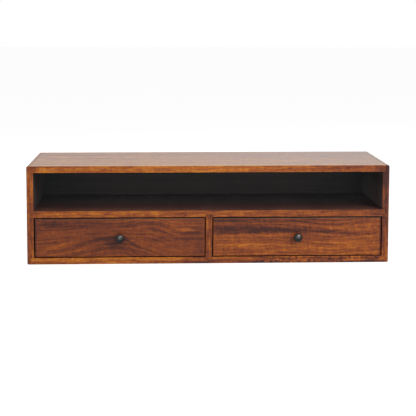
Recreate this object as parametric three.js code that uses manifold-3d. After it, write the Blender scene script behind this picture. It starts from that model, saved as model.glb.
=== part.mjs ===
// Floating media console: a wall-hung box of solid wood with one open niche above two drawers.
// Sizes are in millimetres and +Z is up. The front looks towards -Y. The origin lies in the plane
// of the underside, below the middle of the space that the console and its knobs take up.

import * as THREE from 'three';
import * as BufferGeometryUtils from 'three/addons/utils/BufferGeometryUtils.js';
import Module from 'manifold-3d';

const library = await Module();
library.setup();

// Case
const case_width = 1100;
const case_depth = 350;
const board_thickness = 20; // every board of the case is planed from the same stock
const niche_height = 117; // clear height of the open niche
const drawer_opening_height = 123; // clear height of the two drawer openings
const housing_depth = 8; // how far the end of a board is let into its neighbour
const corner_radius = 4.5; // the four long outer corners
const outer_arris = 1.5; // easing round the front and rear outline
const inner_arris = 1; // easing round the mouths of the niche and the drawer openings

// Clearances shared by every piece
const joint_gap = 0.3; // between a piece and its seat
const overrun = 2; // how far a cutter reaches past the face that it opens

// Back panel and hanging rail
const back_panel_thickness = 8;
const back_groove_depth = 6; // how far the panel's edges run in the case boards
const rear_recess = 22; // from the back panel to the rear edges of the case
const rail_margin = 8; // wood of the rail above and below its hangers

// Keyhole hangers, let in flush at the back of the rail
const hanger_inset = 130; // from a case side to the middle of its hanger
const hanger_width = 26;
const hanger_thickness = 2;
const hanger_corner_radius = 4;
const keyhole_diameter = 12; // takes the head of the wall screw
const keyhole_slot_width = 6; // takes its shank
const keyhole_travel = 14; // from the middle of the round hole to the middle of the slot's end
const pocket_margin = 3; // clear space round the keyhole, behind the plate
const hanger_web = 2; // between that space and the head of a screw
const hanger_screw_inset = 6.5; // from each end of the plate to the middle of its screw
const pocket_depth_share = 0.55; // of the rail's thickness
const hanger_screw_share = 0.75; // of the rail's thickness

// Drawer fronts and boxes
const side_reveal = 3.2; // gap between a drawer front and the upright beside it
const top_reveal = 3;
const bottom_reveal = 3;
const front_thickness = 20;
const front_arris = 1.5;
const drawer_side_thickness = 14;
const drawer_side_drop = 8; // top edge of the box below the top edge of the front
const drawer_back_thickness = 12;
const drawer_rear_clearance = 10; // from the closed drawer to the back panel
const drawer_bottom_thickness = 6;
const drawer_bottom_groove_depth = 6;
const drawer_bottom_height = 10; // from the lower edge of the sides to the bottom panel

// Dovetails: half-blind behind the front, through at the back
const tail_count = 3;
const lap_thickness = 7; // wood of the front that hides the tails
const pin_width = 6; // narrow face of a pin
const tail_slope_share = 1 / 6; // sideways spread over length

// Runners, and the grooves in the drawer sides that hang on them
const runner_height = 14;
const runner_groove_depth = 8;
const runner_side_play = 0.7; // between the runner's face and the floor of the groove
const runner_lower_play = 0.8; // under the runner; above it lies the joint gap
const runner_setback = 16; // from the inner face of the drawer front to the nose of the groove
const runner_rear_margin = 15; // from the runner's tail to the back panel
const runner_screw_inset = 30; // from each end of a runner to its screw
const runner_bite_share = 0.35; // of the upright's thickness, taken up by each runner screw

// Countersunk wood screws
const screw_head_diameter = 7;
const screw_head_height = 2;
const screw_shank_diameter = 3.6;
const screw_tip_length = 3;
const bottom_screw_bite = 12; // length inside the drawer back

// Turned iron knobs and the screws that hold them
const knob_projection = 26; // from the drawer front to the crown of the knob
const knob_head_diameter = 27;
const knob_rim_height = 3; // straight rim of the head
const knob_crown_height = 6; // domed face in front of the rim
const knob_neck_diameter = 10;
const knob_collar_diameter = 16;
const knob_collar_height = 2.5;
const knob_screw_diameter = 4;
const knob_screw_head_diameter = 8;
const knob_screw_head_height = 2.6;
const knob_screw_bite = 11; // length inside the knob

// How finely round shapes are divided
const corner_steps = 4;
const arris_steps = 3;
const screw_sides = 16;
const knob_sides = 36;
const curve_steps = 6;
const crease_angle = THREE.MathUtils.degToRad(30);

// Levels and planes of the case, worked out from the sizes above
const half_width = case_width / 2;
const inner_half_width = half_width - board_thickness;
const housed_half_width = inner_half_width + housing_depth;
const opening_low_z = board_thickness;
const shelf_low_z = opening_low_z + drawer_opening_height;
const shelf_top_z = shelf_low_z + board_thickness;
const top_low_z = shelf_top_z + niche_height;
const case_height = top_low_z + board_thickness;
const front_y = (knob_projection - case_depth) / 2;
const rear_y = front_y + case_depth;
const panel_rear_y = rear_y - rear_recess;
const panel_front_y = panel_rear_y - back_panel_thickness;
const shelf_rear_y = panel_front_y - joint_gap;
const rail_thickness = rear_recess - joint_gap;
const hanger_screw_reach = keyhole_travel / 2 + keyhole_diameter / 2 + pocket_margin
  + hanger_web + screw_head_diameter / 2; // from the middle of the plate
const hanger_length = 2 * (hanger_screw_reach + hanger_screw_inset);
const rail_height = hanger_length + 2 * rail_margin;

// Sizes of one drawer, in its own frame: x from the middle of the front, y back from its face and
// z up from its lower edge
const opening_width = inner_half_width - board_thickness / 2;
const front_half_width = opening_width / 2 - side_reveal;
const front_height = drawer_opening_height - top_reveal - bottom_reveal;
const drawer_length = panel_front_y - front_y - drawer_rear_clearance;
const drawer_side_height = front_height - drawer_side_drop;
const box_inner_half_width = front_half_width - drawer_side_thickness;
const drawer_back_y = drawer_length - drawer_back_thickness;
const drawer_back_low_z = drawer_bottom_height + drawer_bottom_thickness + joint_gap;
const runner_mid_z = (drawer_back_low_z + drawer_side_height) / 2;
const groove_nose_y = front_thickness + runner_setback;

const materials = {
  case_wood: finish(0x93572f, 0.42, 0),
  drawer_front_wood: finish(0x7f4a2c, 0.4, 0),
  drawer_box_wood: finish(0xa5764c, 0.6, 0),
  back_wood: finish(0x5b3724, 0.55, 0),
  black_iron: finish(0x2c2927, 0.38, 0.85),
  zinc_steel: finish(0xa2a19c, 0.35, 0.9),
};

function finish(color, roughness, metalness) {
  return new THREE.MeshStandardMaterial({ color, roughness, metalness });
}

// A closed three.js geometry as a solid: its vertices are welded and its empty triangles dropped.
function toSolid(geometry) {
  const bare = new THREE.BufferGeometry();
  bare.setAttribute('position', geometry.getAttribute('position').clone());
  if (geometry.index) bare.setIndex(geometry.index.clone());
  const welded = BufferGeometryUtils.mergeVertices(bare);
  const corners = welded.index.array;
  const kept = [];
  for (let i = 0; i < corners.length; i += 3) {
    const [a, b, c] = corners.slice(i, i + 3);
    if (a !== b && b !== c && c !== a) kept.push(a, b, c);
  }
  return new library.Manifold(new library.Mesh({
    numProp: 3,
    vertProperties: welded.getAttribute('position').array,
    triVerts: new Uint32Array(kept),
  }));
}

// The same solid back as a geometry, with flat faces and smooth round ones.
function toGeometry(solid) {
  const mesh = solid.getMesh();
  const geometry = new THREE.BufferGeometry();
  geometry.setAttribute('position', new THREE.BufferAttribute(mesh.vertProperties, 3));
  geometry.setIndex(new THREE.BufferAttribute(mesh.triVerts, 1));
  return BufferGeometryUtils.toCreasedNormals(geometry, crease_angle);
}

function subtractAll(solid, cutters) {
  return cutters.reduce((rest, cutter) => rest.subtract(cutter), solid);
}

// A board is kept as its lowest and highest corners, so that what takes it can read its size.
function board(x0, x1, y0, y1, z0, z1) {
  return new THREE.Box3(new THREE.Vector3(x0, y0, z0), new THREE.Vector3(x1, y1, z1));
}

function boardSolid(box) {
  const size = box.getSize(new THREE.Vector3());
  const middle = box.getCenter(new THREE.Vector3());
  const geometry = new THREE.BoxGeometry(size.x, size.y, size.z);
  return toSolid(geometry.translate(middle.x, middle.y, middle.z));
}

// The room that a board needs in its neighbours: its own shape, larger by the joint gap.
function roomFor(box) {
  return boardSolid(box.clone().expandByScalar(joint_gap));
}

function rectangle(x0, x1, z0, z1) {
  return new THREE.Shape([
    new THREE.Vector2(x0, z0),
    new THREE.Vector2(x1, z0),
    new THREE.Vector2(x1, z1),
    new THREE.Vector2(x0, z1),
  ]);
}

function roundedRectangle(x0, x1, z0, z1, radius) {
  const shape = new THREE.Shape();
  shape.absarc(x1 - radius, z0 + radius, radius, -Math.PI / 2, 0);
  shape.absarc(x1 - radius, z1 - radius, radius, 0, Math.PI / 2);
  shape.absarc(x0 + radius, z1 - radius, radius, Math.PI / 2, Math.PI);
  shape.absarc(x0 + radius, z0 + radius, radius, Math.PI, Math.PI * 3 / 2);
  return shape;
}

// An outline drawn in x and z, carried back along y from y0 to y1. An arris eases both ends.
function frontPrism(shape, y0, y1, arris = 0, steps = arris_steps) {
  const geometry = new THREE.ExtrudeGeometry(shape, {
    depth: y1 - y0 - 2 * arris,
    curveSegments: corner_steps,
    bevelEnabled: arris > 0,
    bevelThickness: arris,
    bevelSize: arris,
    bevelOffset: -arris,
    bevelSegments: steps,
  });
  return toSolid(geometry.rotateX(Math.PI / 2).translate(0, y1 - arris, 0));
}

// An outline drawn in y and z, carried along x from x0 to x1.
function sidePrism(shape, x0, x1) {
  const geometry = new THREE.ExtrudeGeometry(shape, {
    depth: x1 - x0,
    curveSegments: corner_steps,
    bevelEnabled: false,
  });
  const along_y = new THREE.Vector3(0, 1, 0);
  const along_z = new THREE.Vector3(0, 0, 1);
  const along_x = new THREE.Vector3(1, 0, 0);
  geometry.applyMatrix4(new THREE.Matrix4().makeBasis(along_y, along_z, along_x));
  return toSolid(geometry.translate(x0, 0, 0));
}

// A profile of [radius, height] points or a path, turned round the y axis.
function turned(points, sides) {
  const profile = points.map((point) => new THREE.Vector2(...point));
  return toSolid(new THREE.LatheGeometry(profile, sides));
}

// Carries a piece made along +Y to its place, pointing in the given direction.
function placement(position, direction) {
  const turn = new THREE.Quaternion().setFromUnitVectors(new THREE.Vector3(0, 1, 0), direction);
  const unit_scale = new THREE.Vector3(1, 1, 1);
  return new THREE.Matrix4().compose(position, turn, unit_scale);
}

function placed(solid, matrix) {
  return solid.transform(matrix.elements);
}

function piece(name, solid, material) {
  const mesh = new THREE.Mesh(toGeometry(solid), material);
  mesh.name = name;
  return mesh;
}

// A piece that is made once at the origin and then set in its place.
function fastener(name, solid, matrix) {
  const mesh = piece(name, solid, materials.zinc_steel);
  mesh.applyMatrix4(matrix);
  return mesh;
}

// Countersunk wood screw with its head's face at the origin and its point along +Y.
function woodScrew(length) {
  const head_radius = screw_head_diameter / 2;
  const shank_radius = screw_shank_diameter / 2;
  return turned([
    [0, 0],
    [head_radius, 0],
    [shank_radius, screw_head_height],
    [shank_radius, length - screw_tip_length],
    [0, length],
  ], screw_sides);
}

// The countersunk hole that takes such a screw.
function screwHole(length) {
  const head_radius = screw_head_diameter / 2 + joint_gap;
  const shank_radius = screw_shank_diameter / 2 + joint_gap;
  return turned([
    [0, -overrun],
    [head_radius, -overrun],
    [head_radius, 0],
    [shank_radius, screw_head_height],
    [shank_radius, length],
    [0, length + joint_gap],
  ], screw_sides);
}

// The boards of the case

const top_board = board(
  -housed_half_width, housed_half_width, front_y, rear_y, top_low_z, case_height,
);
const bottom_board = board(
  -housed_half_width, housed_half_width, front_y, rear_y, 0, opening_low_z,
);
const shelf_board = board(
  -housed_half_width, housed_half_width, front_y, shelf_rear_y, shelf_low_z, shelf_top_z,
);
const divider_board = board(
  -board_thickness / 2, board_thickness / 2, front_y, shelf_rear_y,
  opening_low_z - housing_depth, shelf_low_z + housing_depth,
);
const back_board = board(
  -inner_half_width - back_groove_depth, inner_half_width + back_groove_depth,
  panel_front_y, panel_rear_y,
  opening_low_z - back_groove_depth, top_low_z + back_groove_depth,
);
const rail_board = board(
  -housed_half_width, housed_half_width, panel_rear_y + joint_gap, rear_y,
  top_low_z - joint_gap - rail_height, top_low_z - joint_gap,
);

// Outer form that the assembled case is rounded to: the long corners and both outlines.
function outerForm() {
  const outline = roundedRectangle(-half_width, half_width, 0, case_height, corner_radius);
  return frontPrism(outline, front_y, rear_y, outer_arris);
}

// Cutter that eases the mouth of an opening: it widens towards the front face.
function mouthCutter(x0, x1, z0, z1) {
  const outline = rectangle(
    x0 - inner_arris, x1 + inner_arris, z0 - inner_arris, z1 + inner_arris,
  );
  const single_step = 1;
  return frontPrism(
    outline, front_y - overrun - inner_arris, front_y + inner_arris, inner_arris, single_step,
  );
}

function mouthCutters() {
  const divider_half = board_thickness / 2;
  return [
    mouthCutter(-inner_half_width, inner_half_width, shelf_top_z, top_low_z),
    mouthCutter(-inner_half_width, -divider_half, opening_low_z, shelf_low_z),
    mouthCutter(divider_half, inner_half_width, opening_low_z, shelf_low_z),
  ];
}

// Runners

// The side view of a bar or groove with a round nose, from y0 back to y1.
function nosedBar(y0, y1, z0, z1) {
  const radius = (z1 - z0) / 2;
  const middle_z = (z0 + z1) / 2;
  const shape = new THREE.Shape();
  shape.moveTo(y1, z1);
  shape.lineTo(y0 + radius, z1);
  shape.absarc(y0 + radius, middle_z, radius, Math.PI / 2, Math.PI * 3 / 2);
  shape.lineTo(y1, z0);
  return shape;
}

// Each upright face that carries a runner: where it is and which way it looks.
const runner_seats = [
  { name: 'left_drawer_left_runner', face_x: -inner_half_width, facing: 1 },
  { name: 'left_drawer_right_runner', face_x: -board_thickness / 2, facing: -1 },
  { name: 'right_drawer_left_runner', face_x: board_thickness / 2, facing: 1 },
  { name: 'right_drawer_right_runner', face_x: inner_half_width, facing: -1 },
];
const runner_reach = side_reveal + runner_groove_depth - runner_side_play;
const runner_low_z = opening_low_z + bottom_reveal + runner_mid_z - runner_height / 2;
const runner_nose_y = front_y + groove_nose_y + joint_gap;
const runner_tail_y = panel_front_y - runner_rear_margin;
const runner_screw_length = runner_reach + board_thickness * runner_bite_share;

function runnerScrewPlaces(seat) {
  const x = seat.face_x + seat.facing * runner_reach;
  const z = runner_low_z + runner_height / 2;
  const inwards = new THREE.Vector3(-seat.facing, 0, 0);
  return {
    front_screw: placement(
      new THREE.Vector3(x, runner_nose_y + runner_screw_inset, z), inwards,
    ),
    rear_screw: placement(
      new THREE.Vector3(x, runner_tail_y - runner_screw_inset, z), inwards,
    ),
  };
}

function runnerScrewHoles(seats) {
  const places = seats.flatMap((seat) => Object.values(runnerScrewPlaces(seat)));
  return places.map((matrix) => placed(screwHole(runner_screw_length), matrix));
}

function runnerPieces(seat) {
  const seat_x = seat.face_x + seat.facing * joint_gap;
  const face_x = seat.face_x + seat.facing * runner_reach;
  const outline = nosedBar(
    runner_nose_y, runner_tail_y, runner_low_z, runner_low_z + runner_height,
  );
  const bar = sidePrism(outline, Math.min(seat_x, face_x), Math.max(seat_x, face_x));
  const pieces = [
    piece(seat.name, subtractAll(bar, runnerScrewHoles([seat])), materials.drawer_box_wood),
  ];
  for (const [place, matrix] of Object.entries(runnerScrewPlaces(seat))) {
    pieces.push(fastener(`${seat.name}_${place}`, woodScrew(runner_screw_length), matrix));
  }
  return pieces;
}

// Hanging rail and its keyhole plates

const rail_mid_z = (rail_board.min.z + rail_board.max.z) / 2;
const hanger_places = {
  left_hanger: -inner_half_width + hanger_inset,
  right_hanger: inner_half_width - hanger_inset,
};
const hanger_screw_length = rail_thickness * hanger_screw_share;

// Keyhole outline round the middle of the plate: round hole below, slot above.
function keyhole(x, growth) {
  const hole_radius = keyhole_diameter / 2 + growth;
  const slot_radius = keyhole_slot_width / 2 + growth;
  const hole_z = rail_mid_z - keyhole_travel / 2;
  const slot_z = rail_mid_z + keyhole_travel / 2;
  const meeting_angle = Math.acos(slot_radius / hole_radius);
  const path = new THREE.Shape();
  path.absarc(x, hole_z, hole_radius, Math.PI - meeting_angle, Math.PI * 2 + meeting_angle);
  path.absarc(x, slot_z, slot_radius, 0, Math.PI);
  return path;
}

function hangerOutline(x, growth) {
  const half = hanger_width / 2 + growth;
  const reach = hanger_length / 2 + growth;
  return roundedRectangle(
    x - half, x + half, rail_mid_z - reach, rail_mid_z + reach, hanger_corner_radius + growth,
  );
}

function hangerScrewPlaces(x) {
  const forwards = new THREE.Vector3(0, -1, 0);
  const upper_z = rail_mid_z + hanger_screw_reach;
  const lower_z = rail_mid_z - hanger_screw_reach;
  return {
    upper_screw: placement(new THREE.Vector3(x, rear_y, upper_z), forwards),
    lower_screw: placement(new THREE.Vector3(x, rear_y, lower_z), forwards),
  };
}

function hangerScrewHoles(x) {
  const places = Object.values(hangerScrewPlaces(x));
  return places.map((matrix) => placed(screwHole(hanger_screw_length), matrix));
}

// What one hanger takes out of the rail: a shallow seat, a pocket for the screw head, and holes.
function hangerRoom(x) {
  const seat_y = rear_y - hanger_thickness - joint_gap;
  const pocket_y = rear_y - rail_thickness * pocket_depth_share;
  const seat = frontPrism(hangerOutline(x, joint_gap), seat_y, rear_y + overrun);
  const pocket = frontPrism(keyhole(x, pocket_margin), pocket_y, rear_y + overrun);
  return [seat, pocket, ...hangerScrewHoles(x)];
}

function hangerPieces(name, x) {
  const blank = frontPrism(hangerOutline(x, 0), rear_y - hanger_thickness, rear_y);
  const opening = frontPrism(
    keyhole(x, 0), rear_y - hanger_thickness - overrun, rear_y + overrun,
  );
  const plate = subtractAll(blank, [opening, ...hangerScrewHoles(x)]);
  const pieces = [piece(name, plate, materials.zinc_steel)];
  for (const [place, matrix] of Object.entries(hangerScrewPlaces(x))) {
    pieces.push(fastener(`${name}_${place}`, woodScrew(hanger_screw_length), matrix));
  }
  return pieces;
}

// The case

function sidePanel(facing) {
  const outer_x = -facing * half_width;
  const inner_x = -facing * inner_half_width;
  const blank = board(
    Math.min(outer_x, inner_x), Math.max(outer_x, inner_x), front_y, rear_y, 0, case_height,
  );
  const seats = runner_seats.filter((seat) => seat.face_x === inner_x);
  return subtractAll(boardSolid(blank).intersect(outerForm()), [
    roomFor(top_board),
    roomFor(bottom_board),
    roomFor(shelf_board),
    roomFor(back_board),
    roomFor(rail_board),
    ...mouthCutters(),
    ...runnerScrewHoles(seats),
  ]);
}

function buildCase() {
  const group = new THREE.Group();
  const rounded = (box) => boardSolid(box).intersect(outerForm());
  const top_solid = subtractAll(rounded(top_board), [roomFor(back_board), ...mouthCutters()]);
  const bottom_solid = subtractAll(rounded(bottom_board), [
    roomFor(back_board), roomFor(divider_board), ...mouthCutters(),
  ]);
  const shelf_solid = subtractAll(rounded(shelf_board), [
    roomFor(divider_board), ...mouthCutters(),
  ]);
  const divider_seats = runner_seats.filter((seat) => Math.abs(seat.face_x) < inner_half_width);
  const divider_solid = subtractAll(rounded(divider_board), [
    ...mouthCutters(), ...runnerScrewHoles(divider_seats),
  ]);
  const hanger_rooms = Object.values(hanger_places).flatMap(hangerRoom);
  group.add(
    piece('top_panel', top_solid, materials.case_wood),
    piece('bottom_panel', bottom_solid, materials.case_wood),
    piece('left_side', sidePanel(1), materials.case_wood),
    piece('right_side', sidePanel(-1), materials.case_wood),
    piece('middle_shelf', shelf_solid, materials.case_wood),
    piece('centre_divider', divider_solid, materials.case_wood),
    piece('back_panel', boardSolid(back_board), materials.back_wood),
    piece('hanging_rail', subtractAll(boardSolid(rail_board), hanger_rooms), materials.back_wood),
  );
  for (const [name, x] of Object.entries(hanger_places)) group.add(...hangerPieces(name, x));
  for (const seat of runner_seats) group.add(...runnerPieces(seat));
  return group;
}

// Drawers

// Outlines of the tails between two heights, drawn in y and z. Each tail widens from its root at
// root_y to its end at end_y, and growth makes it larger all round, for the socket that takes it.
function tailOutlines(low_z, high_z, root_y, end_y, growth) {
  const pitch = (high_z - low_z) / tail_count;
  const outwards = Math.sign(end_y - root_y);
  const root = root_y - outwards * growth;
  const end = end_y + outwards * growth;
  const end_half = (pitch - pin_width) / 2 + growth;
  const root_half = end_half - Math.abs(end - root) * tail_slope_share;
  return Array.from({ length: tail_count }, (unused, index) => {
    const middle = low_z + pitch * (index + 1 / 2);
    return [
      new THREE.Vector2(root, middle - root_half),
      new THREE.Vector2(end, middle - end_half),
      new THREE.Vector2(end, middle + end_half),
      new THREE.Vector2(root, middle + root_half),
    ];
  });
}

// Where the tails of a drawer side lie: at the front they stop behind the lap, at the back they
// run through to the rear face, above the bottom panel.
const front_tails = [
  0, drawer_side_height, front_thickness + joint_gap, lap_thickness + joint_gap,
];
const rear_tails = [
  drawer_back_low_z, drawer_side_height, drawer_back_y - joint_gap, drawer_length,
];

function drawerSideOutline() {
  const [, , front_root_y] = front_tails;
  const [rear_low_z, , rear_root_y] = rear_tails;
  return new THREE.Shape([
    new THREE.Vector2(front_root_y, 0),
    new THREE.Vector2(drawer_length, 0),
    new THREE.Vector2(drawer_length, rear_low_z - joint_gap),
    new THREE.Vector2(rear_root_y, rear_low_z - joint_gap),
    ...tailOutlines(...rear_tails, 0).flat(),
    new THREE.Vector2(rear_root_y, drawer_side_height),
    new THREE.Vector2(front_root_y, drawer_side_height),
    ...tailOutlines(...front_tails, 0).flat().reverse(),
  ]);
}

// Sockets for the tails at both ends of a drawer front or back.
function tailSockets(tails) {
  const inner_x = box_inner_half_width - joint_gap;
  const outer_x = front_half_width + overrun;
  return tailOutlines(...tails, joint_gap).flatMap((outline) => {
    const shape = new THREE.Shape(outline);
    return [sidePrism(shape, inner_x, outer_x), sidePrism(shape, -outer_x, -inner_x)];
  });
}

// Grooves in both outer faces of the box. They stop behind the front, so the runners' noses are
// the stops that bring the closed front flush with the case.
function runnerGrooves() {
  const floor_x = front_half_width - runner_groove_depth;
  const outer_x = front_half_width + overrun;
  const low_z = runner_mid_z - runner_height / 2 - runner_lower_play;
  const high_z = runner_mid_z + runner_height / 2 + joint_gap;
  const outline = nosedBar(groove_nose_y, drawer_length + overrun, low_z, high_z);
  return [sidePrism(outline, floor_x, outer_x), sidePrism(outline, -outer_x, -floor_x)];
}

const drawer_bottom_board = board(
  -box_inner_half_width - drawer_bottom_groove_depth,
  box_inner_half_width + drawer_bottom_groove_depth,
  front_thickness - drawer_bottom_groove_depth,
  drawer_length,
  drawer_bottom_height,
  drawer_bottom_height + drawer_bottom_thickness,
);
const bottom_screw_length = drawer_bottom_thickness + joint_gap + bottom_screw_bite;
const bottom_screw_place = placement(
  new THREE.Vector3(0, (drawer_back_y + drawer_length) / 2, drawer_bottom_height),
  new THREE.Vector3(0, 0, 1),
);

// Knob with its foot at the origin and its crown along +Y: collar, waisted neck and domed head.
function knobSolid() {
  const reach = knob_projection - joint_gap;
  const rim_high = reach - knob_crown_height;
  const rim_low = rim_high - knob_rim_height;
  const waist_high = (knob_collar_height + rim_low) / 2;
  const head_radius = knob_head_diameter / 2;
  const neck_radius = knob_neck_diameter / 2;
  const collar_radius = knob_collar_diameter / 2;
  const collar_arris = knob_collar_height / 4;
  const outline = new THREE.Path();
  outline.moveTo(0, 0);
  outline.lineTo(collar_radius, 0);
  outline.lineTo(collar_radius, knob_collar_height - collar_arris);
  outline.lineTo(collar_radius - collar_arris, knob_collar_height);
  outline.quadraticCurveTo(neck_radius, knob_collar_height, neck_radius, waist_high);
  outline.quadraticCurveTo(neck_radius, rim_low, head_radius, rim_low);
  outline.lineTo(head_radius, rim_high);
  outline.absellipse(0, rim_high, head_radius, knob_crown_height, 0, Math.PI / 2);
  const points = outline.getPoints(curve_steps).map((point) => point.toArray());
  points[points.length - 1] = [0, reach];
  return turned(points, knob_sides);
}

// Machine screw with its head's seat at the origin and its point along +Y.
function knobScrew() {
  const head_radius = knob_screw_head_diameter / 2;
  const shank_radius = knob_screw_diameter / 2;
  const length = front_thickness + joint_gap + knob_screw_bite;
  const shoulder = knob_screw_head_height / 2;
  return turned([
    [0, -knob_screw_head_height],
    [head_radius - shoulder, -knob_screw_head_height],
    [head_radius, -shoulder],
    [head_radius, 0],
    [shank_radius, 0],
    [shank_radius, length],
    [0, length],
  ], screw_sides);
}

// The straight hole for that screw, through the front and on into the knob.
function knobScrewHole() {
  const radius = knob_screw_diameter / 2 + joint_gap;
  const length = front_thickness + 2 * joint_gap + knob_screw_bite;
  return turned([[0, -overrun], [radius, -overrun], [radius, length], [0, length]], screw_sides);
}

// The front's outline is eased on its face alone: its rear arris is cut away with the excess.
function drawerFrontBlank() {
  const outline = rectangle(-front_half_width, front_half_width, 0, front_height);
  const eased = frontPrism(outline, 0, front_thickness + front_arris, front_arris);
  return eased.intersect(boardSolid(board(
    -front_half_width, front_half_width, 0, front_thickness, 0, front_height,
  )));
}

function buildDrawer(name, middle_x) {
  const forwards = new THREE.Vector3(0, -1, 0);
  const knob_z = front_height / 2;
  const knob_place = placement(new THREE.Vector3(0, -joint_gap, knob_z), forwards);
  const knob_screw_place = placement(
    new THREE.Vector3(0, front_thickness + joint_gap, knob_z), forwards,
  );
  const screw_hole = placed(knobScrewHole(), knob_screw_place);
  const bottom_room = roomFor(drawer_bottom_board);
  const bottom_screw_hole = placed(screwHole(bottom_screw_length), bottom_screw_place);
  const grooves = runnerGrooves();

  const front = subtractAll(drawerFrontBlank(), [
    ...tailSockets(front_tails), bottom_room, screw_hole,
  ]);
  const back_blank = boardSolid(board(
    -front_half_width, front_half_width, drawer_back_y, drawer_length,
    drawer_back_low_z, drawer_side_height,
  ));
  const back = subtractAll(back_blank, [
    ...tailSockets(rear_tails), ...grooves, bottom_screw_hole,
  ]);
  const side_outline = drawerSideOutline();
  const side_cuts = [bottom_room, ...grooves];
  const left_side = sidePrism(side_outline, -front_half_width, -box_inner_half_width);
  const right_side = sidePrism(side_outline, box_inner_half_width, front_half_width);
  const bottom = boardSolid(drawer_bottom_board).subtract(bottom_screw_hole);
  const bored_knob = placed(knobSolid(), knob_place).subtract(screw_hole);

  const group = new THREE.Group();
  group.add(
    piece(`${name}_front`, front, materials.drawer_front_wood),
    piece(`${name}_left_side`, subtractAll(left_side, side_cuts), materials.drawer_box_wood),
    piece(`${name}_right_side`, subtractAll(right_side, side_cuts), materials.drawer_box_wood),
    piece(`${name}_back`, back, materials.drawer_box_wood),
    piece(`${name}_bottom`, bottom, materials.drawer_box_wood),
    piece(`${name}_knob`, bored_knob, materials.black_iron),
    fastener(`${name}_knob_screw`, knobScrew(), knob_screw_place),
    fastener(`${name}_bottom_screw`, woodScrew(bottom_screw_length), bottom_screw_place),
  );
  group.position.set(middle_x, front_y, opening_low_z + bottom_reveal);
  return group;
}

const drawer_middle_x = (board_thickness + opening_width) / 2;
const console_group = new THREE.Group();
console_group.add(
  buildCase(),
  buildDrawer('left_drawer', -drawer_middle_x),
  buildDrawer('right_drawer', drawer_middle_x),
);

export default console_group;
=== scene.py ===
"""Floating media console, dressed for rendering: solid boards in a satin finish, drawers of plainer
wood and hammered iron knobs. Sizes in this file are in millimetres until they reach a mesh."""
import math

import bmesh
import bpy
import numpy as np
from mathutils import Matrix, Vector


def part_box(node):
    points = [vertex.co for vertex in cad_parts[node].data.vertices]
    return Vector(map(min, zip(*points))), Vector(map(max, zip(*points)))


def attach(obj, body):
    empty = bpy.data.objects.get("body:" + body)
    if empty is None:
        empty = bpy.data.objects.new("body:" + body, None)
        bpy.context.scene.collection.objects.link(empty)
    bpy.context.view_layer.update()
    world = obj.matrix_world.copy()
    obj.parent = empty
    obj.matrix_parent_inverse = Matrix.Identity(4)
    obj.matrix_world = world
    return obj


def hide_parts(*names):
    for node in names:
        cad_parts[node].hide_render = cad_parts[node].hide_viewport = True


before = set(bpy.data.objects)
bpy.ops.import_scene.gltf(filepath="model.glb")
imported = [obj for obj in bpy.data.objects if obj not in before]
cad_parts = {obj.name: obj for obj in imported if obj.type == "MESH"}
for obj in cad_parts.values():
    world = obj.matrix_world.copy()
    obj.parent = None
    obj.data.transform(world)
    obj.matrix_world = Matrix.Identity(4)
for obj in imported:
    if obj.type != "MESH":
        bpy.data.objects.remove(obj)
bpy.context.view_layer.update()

MM = 0.001            # metres in a millimetre
JOINT_GAP = 0.3       # glue line between two boards
OUTER_CORNER = 4.5    # rounding of the four long corners of the case
OUTER_EASE = 1.5      # rounding of its front and rear outline
MOUTH_EASE = 1.0      # rounding of the mouths of the niche and the drawer openings
FRONT_EASE = 1.6      # rounding of a drawer front's face
WEAR_REACH = 7.0      # how far from an edge the finish is rubbed
WELD = 2e-6           # corners nearer to each other than this, in metres, become one
TINY = 1e-9           # keeps a division away from zero
SLACK = 1e-6          # rounding error let pass when two places are compared
FAR_OFF = 99.0        # stands for the distance from an edge that isn't near

# Distances from an eased edge at which a board's faces are cut, to carry its rounding. The
# planes of the cuts are rounded to a thousandth, so that none falls twice.
EDGE_STEPS = np.array([0, 0.25, 0.6, 1.0, 1.5, 2.2, 3.1, 4.5, 5.3, WEAR_REACH])
LATTICE_DECIMALS = 3


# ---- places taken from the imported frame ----

def node_box(name):
    """Lowest and highest corner of a CAD node, in millimetres."""
    low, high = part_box(name)
    return np.array(low, float) / MM, np.array(high, float) / MM


CASE_LOW, CASE_HIGH = node_box("left_side")[0], node_box("right_side")[1]
SHELF_LOW, SHELF_HIGH = node_box("middle_shelf")
INNER_LEFT, INNER_RIGHT = node_box("left_side")[1][0], node_box("right_side")[0][0]
DIVIDER_LOW, DIVIDER_HIGH = node_box("centre_divider")
BOTTOM_TOP_Z, TOP_LOW_Z = node_box("bottom_panel")[1][2], node_box("top_panel")[0][2]
FRONT_Y, REAR_Y = CASE_LOW[1], CASE_HIGH[1]
KNOB_LOW, KNOB_HIGH = node_box("right_drawer_knob")
FRONT_LOW, FRONT_HIGH = node_box("right_drawer_front")

# Middle heights of the boards' edges and of the drawer fronts, and how far those lie from x = 0
TOP_Z, SHELF_Z = (TOP_LOW_Z + CASE_HIGH[2]) / 2, (SHELF_LOW[2] + SHELF_HIGH[2]) / 2
BOTTOM_Z, DRAWER_Z = BOTTOM_TOP_Z / 2, (FRONT_LOW[2] + FRONT_HIGH[2]) / 2
DRAWER_X = (FRONT_LOW[0] + FRONT_HIGH[0]) / 2
FRONT_TOP = float(FRONT_HIGH[2])

# Each mouth in the front of the case, as (left, right, low, high).
MOUTHS = [
    (INNER_LEFT, INNER_RIGHT, SHELF_HIGH[2], TOP_LOW_Z),
    (INNER_LEFT, DIVIDER_LOW[0], BOTTOM_TOP_Z, SHELF_LOW[2]),
    (DIVIDER_HIGH[0], INNER_RIGHT, BOTTOM_TOP_Z, SHELF_LOW[2]),
]


# ---- meshes ----

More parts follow.
